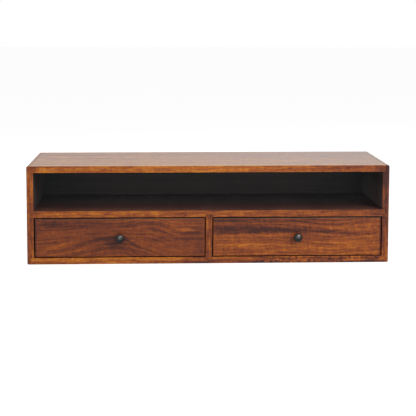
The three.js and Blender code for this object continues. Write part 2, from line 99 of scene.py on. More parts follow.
def make_piece(name, points, faces, body, finish, stands_for, crease=32, wear_and_edge_sheen=None):
    """A piece of the console from points in millimetres and faces of four corners. Points that
    coincide are welded, which also closes seams and poles, and the faces are turned outwards:
    the volume under them, summed over all the faces, comes out positive."""
    mesh = bpy.data.meshes.new(name)
    mesh.from_pydata((points * MM).tolist(), [], faces.tolist())
    if wear_and_edge_sheen is not None:
        layer = mesh.attributes.new("edge_distance", "FLOAT", "POINT")
        layer.data.foreach_set("value", wear_and_edge_sheen.astype(np.float32))
    work = bmesh.new()
    work.from_mesh(mesh)
    bmesh.ops.remove_doubles(work, verts=work.verts, dist=WELD)
    if work.calc_volume(signed=True) < 0:
        bmesh.ops.reverse_faces(work, faces=work.faces)
    work.to_mesh(mesh)
    work.free()
    mesh.shade_smooth()
    mesh.set_sharp_from_angle(angle=math.radians(crease))
    mesh.materials.append(finish)
    piece = bpy.data.objects.new(name, mesh)
    bpy.context.scene.collection.objects.link(piece)
    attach(piece, body)
    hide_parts(*stands_for)


def grid_faces(rows, columns):
    """Corner numbers of the faces between the points of a grid that closes on itself along its
    columns: each face joins a point, the next in its row, and the same two in the next row."""
    row, column = np.meshgrid(np.arange(rows - 1), np.arange(columns), indexing="ij")
    here, beside = row * columns + column, row * columns + (column + 1) % columns
    return np.stack([here, beside, beside + columns, here + columns], -1).reshape(-1, 4)


def quarter_round(u, v, radius):
    """Bends the square corner u, v of a board to a quarter circle. Inside the square of that
    radius, a point keeps its direction from the square's inner corner and its largest share of
    the way out becomes its distance, so the square turns into a quarter disc."""
    a, b = np.clip(radius - u, 0, None), np.clip(radius - v, 0, None)
    length = np.hypot(a, b)
    share = np.where((a > 0) & (b > 0), np.maximum(a, b) / np.maximum(length, TINY), 1.0)
    return a * (1 - share), b * (1 - share)


def cell_walls(wood):
    """Corner numbers of every wall between a cell of wood and an empty one. Along each axis the
    cells are compared with the next ones, and a wall stands where the two differ."""
    numbers = np.arange(np.prod(np.array(wood.shape) + 1)).reshape(np.array(wood.shape) + 1)
    walls = []
    for axis in range(3):
        order = [axis, (axis + 1) % 3, (axis + 2) % 3]
        cells, number = wood.transpose(order), numbers.transpose(order)
        cells = np.pad(cells, [(1, 1), (0, 0), (0, 0)])
        below, above = cells[:-1], cells[1:]
        corners = np.stack([
            number[:, :-1, :-1], number[:, 1:, :-1], number[:, 1:, 1:], number[:, :-1, 1:],
        ], -1)
        walls.append(corners[below & ~above])
        walls.append(corners[above & ~below][:, ::-1])
    return np.concatenate(walls)


def board_lattice(low, high, rooms, eased):
    """Points and walls of a jointed board. The board's box is cut into cells by planes at its
    faces, at every neighbour's room and at small steps beside each eased edge. Cells whose
    middle lies in a room are empty, and the walls of the rest are the surface. eased lists, for
    each axis, the planes with rounded edges."""
    lines = []
    for axis in range(3):
        planes = [low[axis], high[axis], (low[axis] + high[axis]) / 2]
        planes += [room[side][axis] for room in rooms for side in (0, 1)]
        for plane in eased[axis]:
            planes += list(plane + EDGE_STEPS) + list(plane - EDGE_STEPS)
        planes = np.clip(planes, low[axis], high[axis])
        lines.append(np.unique(np.round(planes, LATTICE_DECIMALS)))
    middles = [(line[1:] + line[:-1]) / 2 for line in lines]
    x, y, z = np.meshgrid(*middles, indexing="ij")
    wood = np.ones(x.shape, bool)
    for room_low, room_high in rooms:
        inside = (x > room_low[0]) & (x < room_high[0]) & (y > room_low[1])
        wood &= ~(inside & (y < room_high[1]) & (z > room_low[2]) & (z < room_high[2]))
    walls = cell_walls(wood)
    used, walls = np.unique(walls, return_inverse=True)
    points = np.stack(np.meshgrid(*lines, indexing="ij"), -1).reshape(-1, 3)[used]
    return points, walls.reshape(-1, 4)


# ---- the case ----

def ease_case(points):
    """Rounds the assembled case as one block. Seen from the front, its outline is a rectangle
    with rounded corners; the depth of a point under that outline and its depth behind the front
    or rear face make a square corner, which becomes a quarter circle. Each mouth is eased the
    same way, from its own edges. Also gives each point's distance from the nearest edge."""
    x, y, z = points.T.copy()
    middle_x, middle_z = (CASE_LOW[0] + CASE_HIGH[0]) / 2, (CASE_LOW[2] + CASE_HIGH[2]) / 2
    half_x, half_z = CASE_HIGH[0] - middle_x, CASE_HIGH[2] - middle_z
    side_x, side_z = np.sign(x - middle_x), np.sign(z - middle_z)
    deep_x, deep_z = half_x - np.abs(x - middle_x), half_z - np.abs(z - middle_z)
    front, rear = y - FRONT_Y, REAR_Y - y
    edges = [np.hypot(deep_x, deep_z)]
    edges += [np.hypot(np.minimum(deep_x, deep_z), face) for face in (front, rear)]

    move_x, move_z = quarter_round(deep_x, deep_z, OUTER_CORNER)
    x, z = x - side_x * move_x, z - side_z * move_z
    out_x = np.clip(OUTER_CORNER - half_x + np.abs(x - middle_x), 0, None)
    out_z = np.clip(OUTER_CORNER - half_z + np.abs(z - middle_z), 0, None)
    reach = np.hypot(out_x, out_z)
    for depth, inwards in ((front, 1), (rear, -1)):
        sideways, along = quarter_round(OUTER_CORNER - reach, depth, OUTER_EASE)
        x = x - side_x * sideways * out_x / np.maximum(reach, TINY)
        z = z - side_z * sideways * out_z / np.maximum(reach, TINY)
        y = y + inwards * along

    first_x, _, first_z = points.T
    for left, right, bottom, top in MOUTHS:
        beside = np.maximum(left - first_x, first_x - right)
        above = np.maximum(bottom - first_z, first_z - top)
        away = np.maximum(beside, above)
        near = away > -SLACK
        sideways, along = quarter_round(np.where(near, away, FAR_OFF), front, MOUTH_EASE)
        turn_x = np.where(first_x < (left + right) / 2, -1, 1) * (beside > away - SLACK)
        turn_z = np.where(first_z < (bottom + top) / 2, -1, 1) * (above > away - SLACK)
        x, y, z = x + turn_x * sideways, y + along, z + turn_z * sideways
        edges.append(np.where(near, np.hypot(away, front), FAR_OFF))
    return np.stack([x, y, z], -1), np.minimum(np.min(edges, 0), WEAR_REACH)


def case_board(name, neighbours, finish):
    """A board of the case, with rooms for its neighbours' ends and edges."""
    low, high = node_box(name)
    rooms = []
    for other in neighbours:
        other_low, other_high = node_box(other)
        rooms.append((other_low - JOINT_GAP, other_high + JOINT_GAP))
    eased = [
        [CASE_LOW[0], CASE_HIGH[0], *{m for mouth in MOUTHS for m in mouth[:2]}],
        [FRONT_Y, REAR_Y],
        [CASE_LOW[2], CASE_HIGH[2], *{m for mouth in MOUTHS for m in mouth[2:]}],
    ]
    points, walls = board_lattice(low, high, rooms, eased)
    points, edge_distance = ease_case(points)
    make_piece(
        name + "_board", points, walls, "case", finish, [name],
        wear_and_edge_sheen=edge_distance,
    )


# ---- drawer fronts ----

TAILS = 3             # dovetails at each corner
PIN_WIDTH = 6.0       # wood between two tails, at their roots
LAP = 7.0             # wood left in front of the half-blind tails
TAIL_SLOPE = 1 / 6    # how much a tail's edge leans for its length
BOX_SIDE = 14.0       # thickness of a drawer box's side
BOX_HEIGHT = np.ptp([corner[2] for corner in node_box("left_drawer_left_side")])
GROOVE_START = 14.0   # from the face back to the groove for the drawer's bottom
GROOVE_LOW, GROOVE_HIGH = 9.7, 16.3
GROOVE_END = 6.0      # how far that groove runs past the inner faces of the sides
ON_WALL = 1e-3        # how near to a lattice plane a point counts as lying on it


def drawer_front(name, body, finish):
    """A drawer front with half-blind sockets for the tails of its sides and a groove for the
    bottom. The socket walls are planes of the lattice that lean as they run back: their height
    is the tail's middle plus or minus half its width, which shrinks steadily behind the lap."""
    low, high = node_box(name)
    middle_x, middle_z = (low[0] + high[0]) / 2, (low[2] + high[2]) / 2
    near, far = low[1] + LAP, high[1] + JOINT_GAP
    pitch = BOX_HEIGHT / TAILS
    wide = (pitch - PIN_WIDTH) / 2 + JOINT_GAP
    socket = high[0] - middle_x - BOX_SIDE - JOINT_GAP
    groove = socket + GROOVE_END
    rooms = [(
        np.array([middle_x - groove, low[1] + GROOVE_START - JOINT_GAP, low[2] + GROOVE_LOW]),
        np.array([middle_x + groove, high[1] + 1, low[2] + GROOVE_HIGH]),
    )]
    middles = low[2] + pitch * (np.arange(TAILS) + 0.5)
    for middle in middles:
        for left, right in ((low[0] - 1, middle_x - socket), (middle_x + socket, high[0] + 1)):
            rooms.append((
                np.array([left, near, middle - wide]), np.array([right, far, middle + wide]),
            ))
    eased = [[low[0], high[0]], [low[1]], [low[2], high[2]]]
    points, walls = board_lattice(low, high, rooms, eased)

    x, y, z = points.T.copy()
    ends = np.abs(x - middle_x) > socket - ON_WALL
    behind = np.clip(y - near, 0, None) * ends
    for middle in middles:
        for turn in (-1, 1):
            on_wall = np.abs(z - (middle + turn * wide)) < ON_WALL
            z = np.where(on_wall, z - turn * behind * TAIL_SLOPE, z)

    deep_x = np.minimum(points[:, 0] - low[0], high[0] - points[:, 0])
    deep_z = np.minimum(points[:, 2] - low[2], high[2] - points[:, 2])
    front = points[:, 1] - low[1]
    side_x = np.where(points[:, 0] < middle_x, -1, 1)
    side_z = np.where(points[:, 2] < middle_z, -1, 1)
    sideways, back = quarter_round(deep_x, front, FRONT_EASE)
    upwards, back_too = quarter_round(deep_z, front, FRONT_EASE)
    x, z = x - side_x * sideways, z - side_z * upwards
    y = y + np.maximum(back, back_too)
    edge_distance = np.minimum(np.hypot(np.minimum(deep_x, deep_z), front), WEAR_REACH)
    make_piece(
        name + "_board", np.stack([x, y, z], -1), walls, body, finish,
        [name], wear_and_edge_sheen=edge_distance,
    )


# ---- knobs and screws ----

KNOB_SIDES = 96       # corners round a knob
FOOT_ROWS, DOME_ROWS = 58, 60
HAMMER_BLOWS = 34
BLOW_DEPTH = 0.38     # how far the deepest facets lie under the dome
BLOW_AIM = 15.0       # height of the point that all blows are aimed at
FADE_ROWS = 5         # rows over which the facets begin
GOLDEN_ANGLE = 2.399963       # in radians
SOFT_ARRIS = 0.16     # how far the arris between two facets is rounded

SCREW_SIDES = 48      # corners round a screw
FACE_ROWS, SHANK_ROWS = 22, 90
THREAD_PITCH = 1.5
THREAD_DEPTH = 0.22   # as a share of the shank's radius
FLAT_HEAD = 2.0       # height of a countersunk head
POINT = 2.4           # length of a screw's point
# Shares of a screw head's radius
DOME_RISE = 0.34
CROSS_ARM, CROSS_WIDTH, CROSS_DEPTH = 0.58, 0.13, 0.62


def turned_grid(profile, sides):
    """Points of a profile of (radius, height) turned round the upright axis: the radius times
    the cosine and sine of each angle, and the height."""
    angle = np.arange(sides) * 2 * math.pi / sides
    radius, height = np.array(profile, float).T
    return np.stack([
        radius[:, None] * np.cos(angle), radius[:, None] * np.sin(angle),
        np.repeat(height[:, None], sides, 1),
    ], -1)


def smooth_curve(corners, count):
    """A profile of count points along a quadratic curve that runs through the middles between
    its corners, by cutting the corners four times and spacing the result evenly."""
    line = np.array(corners, float)
    for _ in range(4):
        before, after = line[:-1], line[1:]
        cut = np.stack([before * 0.75 + after * 0.25, before * 0.25 + after * 0.75], 1)
        line = np.concatenate([line[:1], cut.reshape(-1, 2), line[-1:]])
    walked = np.concatenate([[0], np.cumsum(np.hypot(*np.diff(line, axis=0).T))])
    where = np.linspace(0, walked[-1], count)
    return np.stack([np.interp(where, walked, line[:, i]) for i in (0, 1)], -1)


def hammered(points, middle, blows, turn, depth):
    """Facets left by a hammer. Each blow is a plane just under the crown, square to its own
    direction; directions follow the golden angle from the top down. A point is drawn towards
    the middle until it lies under the lowest plane, by a soft minimum of the distances to them."""
    count = np.arange(blows)
    tilt = np.arccos(1 - 1.02 * (count + 0.5) / blows)
    spin = count * GOLDEN_ANGLE + turn
    normal = np.stack([np.sin(tilt) * np.cos(spin), np.sin(tilt) * np.sin(spin), np.cos(tilt)], -1)
    ray = points - middle
    far = np.linalg.norm(ray, axis=-1)
    facing = ray.reshape(-1, 3) / np.maximum(far.reshape(-1, 1), TINY)
    lean = facing @ normal.T
    # The crown's reach along each blow's direction, from the points within 0.13 radian of it.
    reach = (far.reshape(-1, 1) * (lean > np.cos(0.13))).max(0)
    reach = np.where(reach > 0, reach, far.max()) - depth * (0.6 + 0.4 * np.cos(count * 1.7))
    along = reach / np.maximum(lean, 0.05)
    soft = -SOFT_ARRIS * np.log(np.exp(-along / SOFT_ARRIS).sum(1))
    share = np.minimum(soft / np.maximum(far.ravel(), TINY), 1.0)
    return middle + ray * share.reshape(far.shape + (1,))


def iron_knob(name, body, turn, finish):
    """A small forged knob: a collar on the drawer front, a waisted neck and a domed head. The
    lower part is a smooth profile turned round the axis, and the head carries hammer facets."""
    low, high = node_box(name)
    reach, radius = high[1] - low[1], (high[0] - low[0]) / 2
    seam = (radius - 0.15, 17.0)
    foot = smooth_curve([
        (0, 0), (8.0, 0), (8.0, 0), (8.0, 2.2), (7.2, 2.7), (5.3, 2.9), (4.7, 6.0), (4.9, 10.0),
        (5.6, 13.6), (8.4, 15.4), (radius - 1.1, 16.2), seam,
    ], FOOT_ROWS)
    dome = smooth_curve([
        seam, (radius, 17.9), (radius, 18.9), (radius - 0.35, 20.3),
        (radius - 1.9, 22.6), (radius - 5.4, 24.8), (5.0, reach - 0.02), (0, reach),
    ], DOME_ROWS)
    foot, dome = turned_grid(foot, KNOB_SIDES), turned_grid(dome, KNOB_SIDES)
    beaten = hammered(dome, np.array([0, 0, BLOW_AIM]), HAMMER_BLOWS, turn, BLOW_DEPTH)
    fade = np.clip(np.arange(len(dome)) / FADE_ROWS, 0, 1)[:, None, None]
    crown = dome * (1 - fade) + beaten * fade
    crown[-1] = crown[-1].mean(0)
    points = np.concatenate([foot, crown[1:]])
    faces = grid_faces(*points.shape[:2])
    middle = (low + high) / 2
    points = points.reshape(-1, 3)
    placed = np.stack([
        middle[0] + points[:, 0], high[1] - points[:, 2], middle[2] + points[:, 1],
    ], -1)
    make_piece(
        name.replace("_knob", "_iron_knob"), placed, faces, body, finish, [name],
        crease=50,
    )


def screw(name, body, finish, head, way, length, head_radius, shank_radius, domed=False):
    """A cross-head screw. The profile runs over the head, down the shank and to the point; the
    cross is sunk where the smaller of the two sideways distances lies inside an arm that
    narrows outwards, and a shallow thread is a wave in the shank's radius that turns with the
    angle. head is the middle of the head's outer face, and way the direction of the point."""
    arm = head_radius * CROSS_ARM
    face = np.linspace(0, head_radius, FACE_ROWS)
    rise = DOME_RISE * head_radius if domed else 0.0
    under = 0.0 if domed else FLAT_HEAD
    shank = np.linspace(under + 0.3, length - POINT, SHANK_ROWS)
    rim = [(head_radius, 0.0), (head_radius, 0.15), (shank_radius, under + 0.2)]
    profile = np.concatenate([
        np.stack([face, -rise * (1 - (face / head_radius) ** 2)], -1),
        rim,
        np.stack([np.full(SHANK_ROWS, shank_radius), shank], -1),
        [(shank_radius * 0.55, length - 1.0), (0, length)],
    ])
    row = np.arange(len(profile))[:, None]
    grid = turned_grid(profile, SCREW_SIDES)
    across = np.minimum(np.abs(grid[..., 0]), np.abs(grid[..., 1]))
    far = np.hypot(grid[..., 0], grid[..., 1])
    width = CROSS_WIDTH * head_radius * (1.35 - 0.6 * far / arm)
    sunk = np.clip((width - across) / (0.05 * head_radius) + 0.5, 0, 1)
    sunk = sunk * np.clip((arm - far) / (0.06 * head_radius) + 0.5, 0, 1)
    depth = sunk * CROSS_DEPTH * head_radius * (1 - 0.55 * far / arm)
    grid[..., 2] += np.where(row < FACE_ROWS, depth, 0)
    on_shank = (row >= FACE_ROWS + len(rim)) & (profile[:, :1] > shank_radius * 0.9)
    turns = np.arange(SCREW_SIDES) / SCREW_SIDES
    wave = np.abs(np.mod(grid[..., 2] / THREAD_PITCH - turns, 1.0) - 0.5) * 2
    grid[..., :2] *= np.where(on_shank, 1 - THREAD_DEPTH * wave, 1.0)[..., None]
    turn = np.array(Vector((0, 0, 1)).rotation_difference(Vector(way)).to_matrix())
    placed = grid.reshape(-1, 3) @ turn.T + np.array(head)
    make_piece(
        name + "_piece", placed, grid_faces(*grid.shape[:2]), body, finish,
        [name], crease=40,
    )


# ---- finishes: fields of numbers worked out by shader nodes ----

class Field:
    """A number that varies over a surface. Arithmetic on it adds the Math nodes that do it."""

    def __init__(self, tree, socket):
        self.tree, self.socket = tree, socket

    def work(self, operation, *others):
        """A Math node on this field and others."""
        node = self.tree.nodes.new("ShaderNodeMath")
        node.operation = operation
        for slot, value in zip(node.inputs, (self, *others)):
            feed(self.tree, slot, value)
        return Field(self.tree, node.outputs[0])

    def __add__(self, other):
        return self.work("ADD", other)

    def __sub__(self, other):
        return self.work("SUBTRACT", other)

    def __mul__(self, other):
        return self.work("MULTIPLY", other)

    def __truediv__(self, other):
        return self.work("DIVIDE", other)

    def __pow__(self, other):
        return self.work("POWER", other)

    def __neg__(self):
        return self.work("MULTIPLY", -1.0)

    def between(self, low, high, start=0.0, end=1.0):
        """start below low, end above high and a smooth slope from one to the other."""
        node = self.tree.nodes.new("ShaderNodeMapRange")
        node.interpolation_type = "SMOOTHSTEP"
        for slot, value in zip(node.inputs, (self, low, high, start, end)):
            feed(self.tree, slot, value)
        return Field(self.tree, node.outputs[0])

    def hill(self, middle, width):
        """A bell of height 1 at middle: e to the minus square of the distance over width."""
        away = (self - middle) / width
        return (-(away * away)).work("EXPONENT")

    def plateau(self, middle, width):
        """A flat-topped hill: e to the minus fourth power of the distance over width."""
        away = ((self - middle) / width) ** 2.0
        return (-(away * away)).work("EXPONENT")


def feed(tree, slot, value):
    """Links a field or socket to a node's input, or writes a plain value on it."""
    if isinstance(value, Field):
        value = value.socket
    if isinstance(value, bpy.types.NodeSocket):
        tree.links.new(value, slot)
    else:
        slot.default_value = value


class Finish:
    """A material under construction, with the object's own coordinates in millimetres."""

    def __init__(self, name):
        self.material = bpy.data.materials.new(name)
        self.material.use_nodes = True
        self.tree = self.material.node_tree
        self.shader = self.tree.nodes["Principled BSDF"]
        coordinates = self.tree.nodes.new("ShaderNodeTexCoord")
        scaled = self.tree.nodes.new("ShaderNodeVectorMath")
        scaled.operation = "SCALE"
        scaled.inputs["Scale"].default_value = 1 / MM
        self.tree.links.new(coordinates.outputs["Object"], scaled.inputs[0])
        self.x, self.y, self.z = self.parts(scaled.outputs[0])
        self.facing = self.parts(coordinates.outputs["Normal"])

    def parts(self, vector):
        """The three parts of a vector, as fields."""
        node = self.tree.nodes.new("ShaderNodeSeparateXYZ")
        self.tree.links.new(vector, node.inputs[0])
        return [Field(self.tree, output) for output in node.outputs]

    def noise_node(self, detail, roughness):
        """A Noise node of about one cycle for each unit of its input."""
        node = self.tree.nodes.new("ShaderNodeTexNoise")
        node.inputs["Scale"].default_value = 1.0
        node.inputs["Detail"].default_value = detail
        node.inputs["Roughness"].default_value = roughness
        return node

    def noise(self, x, y, z, detail, roughness):
        """Noise over x, y and z, from 0 to 1."""
        place = self.tree.nodes.new("ShaderNodeCombineXYZ")
        for slot, value in zip(place.inputs, (x, y, z)):
            feed(self.tree, slot, value)
        node = self.noise_node(detail, roughness)
        self.tree.links.new(place.outputs[0], node.inputs["Vector"])
        return Field(self.tree, node.outputs[0])

    def noise_along(self, w, detail, roughness):
        """Noise along a line, from 0 to 1."""
        node = self.noise_node(detail, roughness)
        node.noise_dimensions = "1D"
        feed(self.tree, node.inputs["W"], w)
        return Field(self.tree, node.outputs[0])

    def cloud(self, rate, detail, roughness):
        """Noise that is alike along all three axes, with about rate cycles in a millimetre."""
        return self.noise(self.x * rate, self.y * rate, self.z * rate, detail, roughness)

    def edge(self):
        """Distance from the nearest eased edge, in millimetres, kept on the mesh."""
        node = self.tree.nodes.new("ShaderNodeAttribute")
        node.attribute_name = "edge_distance"
        return Field(self.tree, node.outputs["Fac"])

    def tint(self, tone, stops):
        """A colour for each tone: stops are (tone, linear red, green, blue)."""
        node = self.tree.nodes.new("ShaderNodeValToRGB")
        ramp = node.color_ramp
        ramp.interpolation = "LINEAR"
        while len(ramp.elements) < len(stops):
            ramp.elements.new(0.5)
        for element, (place, red, green, blue) in zip(ramp.elements, sorted(stops)):
            element.position = place
            element.color = (red, green, blue, 1)
        feed(self.tree, node.inputs["Fac"], tone)
        return node.outputs["Color"]

    def blend(self, share, first, second):
        """first where share is 0 and second where it is 1, for colours."""
        node = self.tree.nodes.new("ShaderNodeMix")
        node.data_type = "RGBA"
        feed(self.tree, node.inputs["Factor"], share)
        feed(self.tree, node.inputs[6], first)
        feed(self.tree, node.inputs[7], second)
        return node.outputs[2]

    def relief(self, height, depth, strength):
        """Bump from a height field; depth is what a height of 1 stands for, in millimetres."""
        node = self.tree.nodes.new("ShaderNodeBump")
        node.inputs["Strength"].default_value = strength
        node.inputs["Distance"].default_value = depth * MM
        feed(self.tree, node.inputs["Height"], height)
        self.tree.links.new(node.outputs["Normal"], self.shader.inputs["Normal"])

    def set(self, **values):
        """Feeds the shader: underscores in the names stand for spaces."""
        for name, value in values.items():
            feed(self.tree, self.shader.inputs[name.replace("_", " ")], value)
        return self.material


# Heartwood under a warm satin finish, from dark late wood to the palest streaks.
HEARTWOOD = [
    (0.00, 0.040, 0.010, 0.007), (0.22, 0.102, 0.023, 0.009), (0.42, 0.183, 0.041, 0.010),
    (0.60, 0.268, 0.069, 0.010), (0.78, 0.385, 0.117, 0.013), (1.00, 0.520, 0.200, 0.026),
]
BOX_WOOD = [
    (0.00, 0.20, 0.105, 0.055), (0.35, 0.33, 0.185, 0.098), (0.65, 0.43, 0.260, 0.145),
    (1.00, 0.54, 0.350, 0.210),
]
# Painted sheen on an upper face: a pale grey that stands in for the bright reflection there.
UPPER_SHEEN_PAINT = [
    (0.00, 0.100, 0.070, 0.030), (0.50, 0.280, 0.200, 0.070), (1.00, 0.520, 0.400, 0.150),
]
# The dark stain inside the niche on its floor and sides near its mouth, a paler grey deep inside
# that is painted light, and the back panel's stain, warmer in the middle, with painted shade that
# makes it cooler and darker towards its ends.
FLOOR_STAIN = [
    (0.00, 0.018, 0.010, 0.009), (0.50, 0.056, 0.026, 0.023), (1.00, 0.140, 0.058, 0.044),
]
WALL_STAIN = [
    (0.00, 0.022, 0.017, 0.017), (0.50, 0.060, 0.046, 0.045), (1.00, 0.130, 0.092, 0.086),
]
DEEP_LIGHT_PAINT = [
    (0.00, 0.086, 0.085, 0.090), (0.50, 0.168, 0.163, 0.170), (1.00, 0.250, 0.232, 0.232),
]
END_SHADE_PAINT = [
    (0.00, 0.030, 0.033, 0.036), (0.50, 0.045, 0.048, 0.051), (1.00, 0.070, 0.070, 0.072),
]
# Painted shade in the gaps round the drawer fronts: a near black that stands in for their shadow.
GAP_SHADE_PAINT = [
    (0.00, 0.012, 0.009, 0.009), (0.50, 0.031, 0.020, 0.018), (1.00, 0.066, 0.040, 0.033),
]
# Painted highlight: the pale grey line along the upper edge of each drawer front.
EDGE_HIGHLIGHT_PAINT = [
    (0.00, 0.036, 0.030, 0.022), (0.50, 0.090, 0.072, 0.048), (1.00, 0.200, 0.155, 0.095),
]
REAR_STAIN = [
    (0.00, 0.045, 0.021, 0.012), (0.50, 0.110, 0.052, 0.028), (1.00, 0.200, 0.105, 0.058),
]
BACK_STAIN = [
    (0.00, 0.034, 0.030, 0.030), (0.50, 0.052, 0.045, 0.044), (1.00, 0.084, 0.066, 0.060),
]


# The axis that each kind of board runs along, and those across and through it, as numbers of
# x, y and z. A front is cut along x and stands upright, and so does a drawer's side along y.
BOARD_AXES = {"x": (0, 1, 2), "z": (2, 1, 0), "front": (0, 2, 1), "upright": (1, 2, 0)}


def grain(finish, length, seed, heart, sway, ring, warp=None):
    """The grain of one board, as rings round a heart that runs beside it. A point's distance
    from the heart, swayed by slow and quick noise, is the age of the wood there. Noise along
    that age gives bands and its fraction by the ring width a dark line each year. Noise drawn
    out along the board and set out by age gives streaks, lines, short flecks and fibres, and
    noise drawn out across it the ripple that curly wood shows. length is a name in BOARD_AXES,
    and heart the place of the rings' middle across and through the board."""
    place = (finish.x, finish.y, finish.z)
    run, across, through = (place[axis] for axis in BOARD_AXES[length])
    slow = finish.noise(run * 0.0022 + seed, across * 0.009, through * 0.009, 2.0, 0.5)
    quick = finish.noise(run * 0.014 - seed, across * 0.045, through * 0.045, 2.0, 0.6)
    aside, under = across - heart[0], through - heart[1]
    age = (aside * aside + under * under).work("SQRT")
    age = age + (slow - 0.5) * sway + (quick - 0.5) * (sway * 0.45)
    if warp is not None:
        age = age + warp
    bands = finish.noise_along(age / ring * 0.55 + seed * 3.1, 3.0, 0.62)
    year = (age / ring + (finish.noise_along(age * 0.05 + seed, 1.0, 0.5) * 1.5)).work("FRACT")
    late = year * year * year * year.between(0.93, 1.0, 1.0, 0.0)
    streak = finish.noise(run * 0.0085 + seed, age * 0.14, through * 0.14, 3.0, 0.65)
    line = finish.noise(run * 0.022 - seed, age * 0.27, through * 0.27, 3.0, 0.65)
    fleck = finish.noise(run * 0.075, age * 0.30 + seed, through * 0.30, 2.0, 0.65)
    fibre = finish.noise(run * 0.04 + seed, age * 0.9, through * 0.9, 3.0, 0.6)
    ripple = finish.noise(run * 0.12, age * 0.045 + seed, through * 0.05, 2.0, 0.65)
    pore = finish.noise(run * 0.10, across * 2.6, through * 2.6 + seed, 1.0, 0.5)
    return dict(run=run, across=across, through=through, bands=bands, late=late,
                streak=streak, line=line, fleck=fleck, fibre=fibre, ripple=ripple,
                pore=pore.between(0.655, 0.72))


def end_grain(finish, length):
    """1 where a face cuts square across the fibres."""
    return finish.facing[BOARD_AXES[length][0]].work("ABSOLUTE").between(0.75, 0.95)


def along_board(finish, run, stops):
    """A slow drift of tone along a board: stops are (millimetres, tone)."""
    low, high = stops[0][0], stops[-1][0]
    share = (run - low) / (high - low)
    return Field(finish.tree, finish.tint(share, [
        ((place - low) / (high - low), tone, tone, tone) for place, tone in stops
    ]))


def show_wood(name, length, seed, heart, drift, *, marks, sway, blotch, contrast=1.0, ring=9.0,
              curl=0.42, warp=None, polish=0.0, stained=None, shaded=None, wear_and_edge_sheen=0.0):
    """Polished heartwood: tone from bands, year lines, streaks and blotches round the board's
    own drift, curly ripple across them, open pores that stay dark, end grain that drinks the
    stain, a satin film whose gloss follows the fibres, and edges rubbed a little thin.
    drift is the tone along the board, and marks and warp are its own figure. polish is the
    extra gloss of an upper face, which also gets a painted sheen. stained is the stain's ramp
    inside the niche, whose floor gets painted light near the mouth and whose deep part a paler
    painted light. shaded tells where painted shade darkens the wood in the gaps and openings,
    and the last argument how strong the painted highlight along a front's upper edge is."""
    finish = Finish(name)
    wood = grain(finish, length, seed, heart, sway, ring, warp(finish) if warp else None)
    patches = finish.noise(wood["run"] * 0.030 - seed, wood["across"] * 0.07,
                           wood["through"] * 0.07, 3.0, 0.65)
    stripes = (wood["bands"] - 0.5) * 0.80 - wood["late"] * 0.20
    stripes = stripes + (wood["streak"] - 0.5) * 0.75 + (wood["line"] - 0.5) * 0.62
    clouds = (wood["fleck"] - 0.5) * 0.50 + (wood["ripple"] - 0.5) * curl
    clouds = clouds + (patches - 0.5) * (2 * blotch)
    if polish:
        upper = finish.facing[2].between(0.90, 0.99)
        stripes, clouds = stripes * (upper * 0.7 + 1.0), clouds * (upper * -0.6 + 1.0)
    tone = along_board(finish, wood["run"], drift) + stripes * contrast + clouds
    tone = tone + (wood["fibre"] - 0.5) * 0.30 + marks(finish)
    end = end_grain(finish, length)
    if polish:
        end = end * (upper * -0.9 + 1.0)
    tone = tone - end * 0.17 - wood["pore"] * 0.16
    ragged = finish.cloud(0.07, 3.0, 0.6)
    rubbed = (finish.edge() + ragged * 3.0 - 1.5).between(0.2, 2.6, 1.0, 0.0)
    # Painted shade: wood in the gaps and openings is darkened.
    if shaded:
        hidden = shaded(finish)
        tone = tone - hidden * 0.34
    colour = finish.tint(tone + rubbed * 0.10, HEARTWOOD)
    # Painted shade of the gap: near the face the wood turns a near black.
    if shaded:
        gap = hidden * finish.y.between(FRONT_Y + 14.0, FRONT_Y + 22.0, 0.8, 0.0)
        colour = finish.blend(gap, colour, finish.tint(tone + 0.34, GAP_SHADE_PAINT))
    # Painted highlight along a drawer front's upper edge, where it would catch the light.
    if wear_and_edge_sheen:
        under_top = finish.z - FRONT_TOP
        ridge = under_top.between(-3.6, -2.2) * under_top.between(-1.1, -0.6, wear_and_edge_sheen, 0.0)
        colour = finish.blend(ridge, colour, finish.tint(tone, EDGE_HIGHLIGHT_PAINT))
    # Painted sheen on the upper faces, strongest beside the front edge.
    if polish:
        painted_sheen = upper * finish.y.between(FRONT_Y + 5.0, FRONT_Y + 50.0, 0.26, 0.14)
        colour = finish.blend(painted_sheen, colour, finish.tint(tone, UPPER_SHEEN_PAINT))
    # Painted light in the niche: a paler floor near the mouth, and a paler grey deep inside.
    if stained:
        lip = finish.y.between(FRONT_Y + 8.0, FRONT_Y + 90.0, 0.40, 0.0)
        lip = lip * finish.facing[2].between(0.5, 0.9)
        deep = finish.y.between(FRONT_Y + 60.0, REAR_Y - 50.0)
        stain = finish.blend(deep, finish.tint(tone + lip, stained), finish.tint(tone, DEEP_LIGHT_PAINT))
        colour = finish.blend(in_mouth(finish, MOUTHS[0]), colour, stain)
    height = wood["fibre"] * 0.5 + wood["line"] * 0.4 - wood["pore"] * 0.8
    height = height - wood["late"] * 0.3
    finish.relief(height, 0.10, 0.55)
    gloss = wood["fibre"] * 0.10 + wood["bands"] * 0.06 + 0.30 + end * 0.12 + rubbed * 0.08
    if polish:
        gloss = gloss - upper * finish.x.between(-450.0, 450.0, polish * 0.6, polish)
    return finish.set(Base_Color=colour, Roughness=gloss, IOR=1.31)


